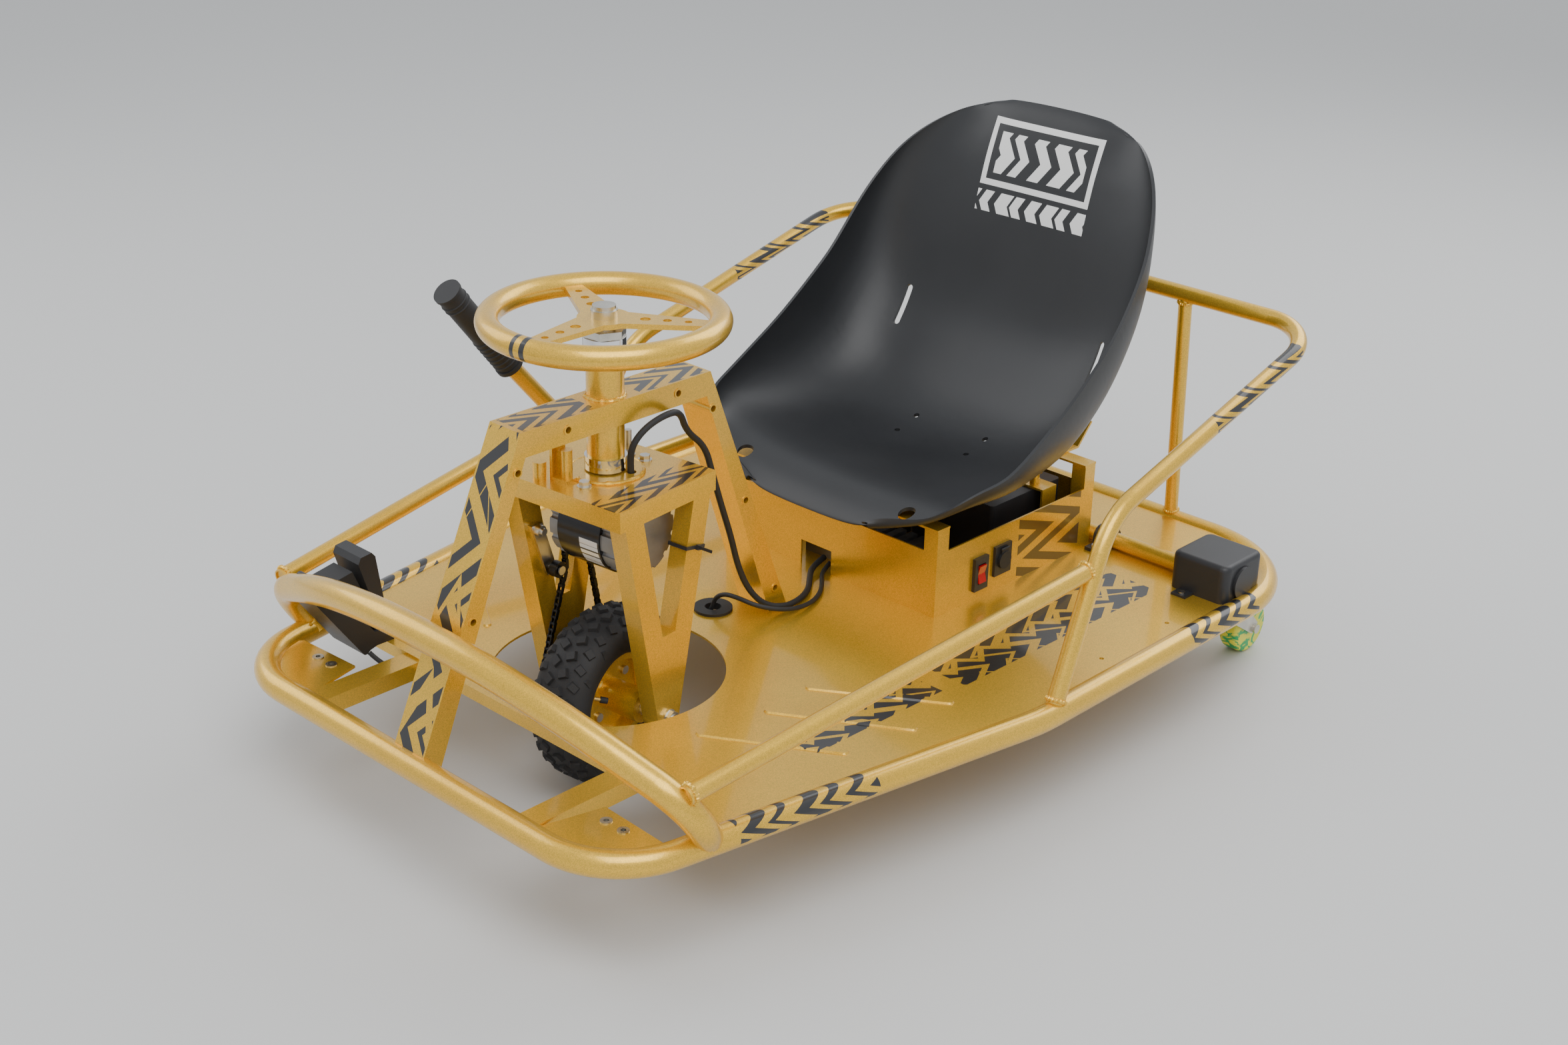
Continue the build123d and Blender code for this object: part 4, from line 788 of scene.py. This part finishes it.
toothed("wheel_sprocket_teeth", 48, 0.0565, 0.0605, axle_height, "front_wheel")
toothed("motor_sprocket_teeth", 11, 0.0098, 0.0138, 0.338, "motor_rotor")


# Weld beads: short rippled fillets where the frame's tubes meet, painted over.
def ring_mesh(centre, axis, radius, thick, ripple=0.0):
    """A round ring about an axis, with an uneven surface where asked."""
    mesh = bmesh.new()
    ring = bmesh.ops.create_circle(mesh, segments=8, radius=thick)
    verts = ring["verts"]
    bmesh.ops.rotate(mesh, verts=verts, cent=(0, 0, 0), matrix=Matrix.Rotation(math.pi / 2, 3, "X"))
    bmesh.ops.translate(mesh, verts=verts, vec=(radius, 0, 0))
    bmesh.ops.spin(mesh, geom=verts + list(mesh.edges), cent=(0, 0, 0), axis=(0, 0, 1),
                   angle=math.tau, steps=64, use_merge=True)
    bmesh.ops.remove_doubles(mesh, verts=mesh.verts, dist=1e-6)
    for vert in mesh.verts:
        angle = math.atan2(vert.co.y, vert.co.x)
        core = Vector((math.cos(angle), math.sin(angle), 0)) * radius
        wave = math.sin(angle * 21) + 2.3 * noise.noise(vert.co * 90)
        vert.co = core + (vert.co - core) * (1 + ripple * wave)
    turn_to = Vector(axis).to_track_quat("Z", "Y").to_matrix().to_4x4()
    bmesh.ops.transform(mesh, verts=mesh.verts, matrix=Matrix.Translation(centre) @ turn_to)
    return mesh


def bead(name, centre, axis, radius, thick, body="chassis"):
    """A rippled ring of weld under the gold paint."""
    mesh = ring_mesh(centre, axis, radius, thick, 0.22)
    finish_piece(name, mesh, plain_gold, body)


bead("weld_head_tube", (0, -0.2925, 0.4965), (0, 0, 1), 0.0225, 0.0026)
bead("weld_fork_ring", (0, -0.2925, 0.4045), (0, 0, 1), 0.0435, 0.0024, "fork")
for label, side in (("left", 1), ("right", -1)):
    bead("weld_hoop_foot_" + label, (side * 0.350, -0.4735, 0.1475),
         (side * 0.42, -0.49, 0.76), 0.0170, 0.0026)
    bead("weld_rail_front_" + label, (side * 0.3586, -0.5025, 0.2128), (side * 0.1, 1, 0.13),
         0.0108, 0.0028)
    bead("weld_rail_rear_" + label, (side * 0.4168, 0.0865, 0.2915), (side * 0.1, 1, 0.13),
         0.0112, 0.0024)
    bead("weld_side_foot_" + label, (side * 0.4320, 0.0250, 0.1500), (-side * 0.07, 0.45, 0.89),
         0.0112, 0.0026)
    bead("weld_strut_top_" + label, (side * 0.205, 0.5753, 0.4625), (0, -0.056, 1), 0.0096, 0.0022)
    bead("weld_strut_foot_" + label, (side * 0.205, 0.5926, 0.1512), (0, -0.056, 1), 0.0096,
         0.0022)

# Rail ends: a welded cap closes each upper rail where it meets the front hoop.
for label, side in (("left", 1), ("right", -1)):
    cap = bmesh.new()
    bmesh.ops.create_cone(cap, cap_ends=True, segments=32, radius1=0.0107, radius2=0.0107,
                          depth=0.003)
    along = Vector((side * 0.0975, 0.9863, 0.1317))
    turned = along.to_track_quat("Z", "Y").to_matrix().to_4x4()
    at = Vector((side * 0.358, -0.5085, 0.212)) + along * 0.0035
    bmesh.ops.transform(cap, verts=cap.verts, matrix=Matrix.Translation(at) @ turned)
    finish_piece("rail_cap_" + label, cap, plain_gold, "chassis")


# Hand grip: soft ridges round the lower half of the grip and at its end.
grip_along = Vector((0, -0.6255, 0.7802))
grip_foot = Vector((-0.300, -0.1852, 0.4251))
for index, reach in enumerate((0.014, 0.022, 0.030, 0.038, 0.046, 0.054, 0.062, 0.128, 0.136)):
    ridge = ring_mesh(grip_foot + grip_along * reach, grip_along, 0.0166, 0.0016)
    finish_piece("grip_ridge_%d" % index, ridge, rubber, "drift_axle")


# Cable tie: a flat black strap round the left fork leg's rear bar, with its head
# and cut tail, where the motor's lead is held.
tie = bmesh.new()
corners = ((1, 1), (-1, 1), (-1, -1), (1, -1))
loops = []
for grow, z in ((0.0003, -0.0021), (0.0016, -0.0021), (0.0016, 0.0021), (0.0003, 0.0021)):
    loops.append([tie.verts.new((x * (0.0127 + grow), y * (0.0152 + grow), z))
                  for x, y in corners])
for first, second in zip(loops, loops[1:] + loops[:1]):
    for k in range(4):
        tie.faces.new((first[k], first[(k + 1) % 4], second[(k + 1) % 4], second[k]))
head = bmesh.ops.create_cube(tie, size=1.0)["verts"]
bmesh.ops.scale(tie, verts=head, vec=(0.0042, 0.006, 0.006))
bmesh.ops.translate(tie, verts=head, vec=(0.0155, 0.004, 0))
tail = bmesh.ops.create_cube(tie, size=1.0)["verts"]
bmesh.ops.scale(tie, verts=tail, vec=(0.020, 0.0012, 0.0036))
bmesh.ops.translate(tie, verts=tail, vec=(0.0255, 0.004, 0))
lean_back = Matrix.Rotation(math.radians(-11.8), 4, "X")
bmesh.ops.transform(tie, verts=tie.verts,
                    matrix=fork_turn @ Matrix.Translation((0.0835, 0.0455, 0.318)) @ lean_back)
finish_piece("cable_tie", tie, black, "fork")


# Tyre valve: a brass stem through the rim's well with a black cap.
brass = grained("brass", (0.62, 0.42, 0.14), 0.3, 1.0)[0]
valve_lean = Matrix.Rotation(math.radians(140), 4, "Y")
for name, radius, span, material, label in (("valve_stem", 0.0027, (0.0, 0.016), brass, "zinc"),
                                            ("valve_cap", 0.0041, (0.014, 0.023), rubber,
                                             "black_rubber")):
    part = bmesh.new()
    cylinder = bmesh.ops.create_cone(part, cap_ends=True, segments=20, radius1=radius,
                                     radius2=radius * 0.92, depth=span[1] - span[0])["verts"]
    bmesh.ops.translate(part, verts=cylinder, vec=(0, 0, sum(span) / 2))
    bmesh.ops.transform(part, verts=part.verts, matrix=(
        fork_turn @ Matrix.Translation((0, 0, axle_height))
        @ Matrix.Rotation(math.radians(70), 4, "X")
        @ Matrix.Translation((0.014, 0, 0.0535)) @ valve_lean))
    finish_piece(name, part, material, "front_wheel")
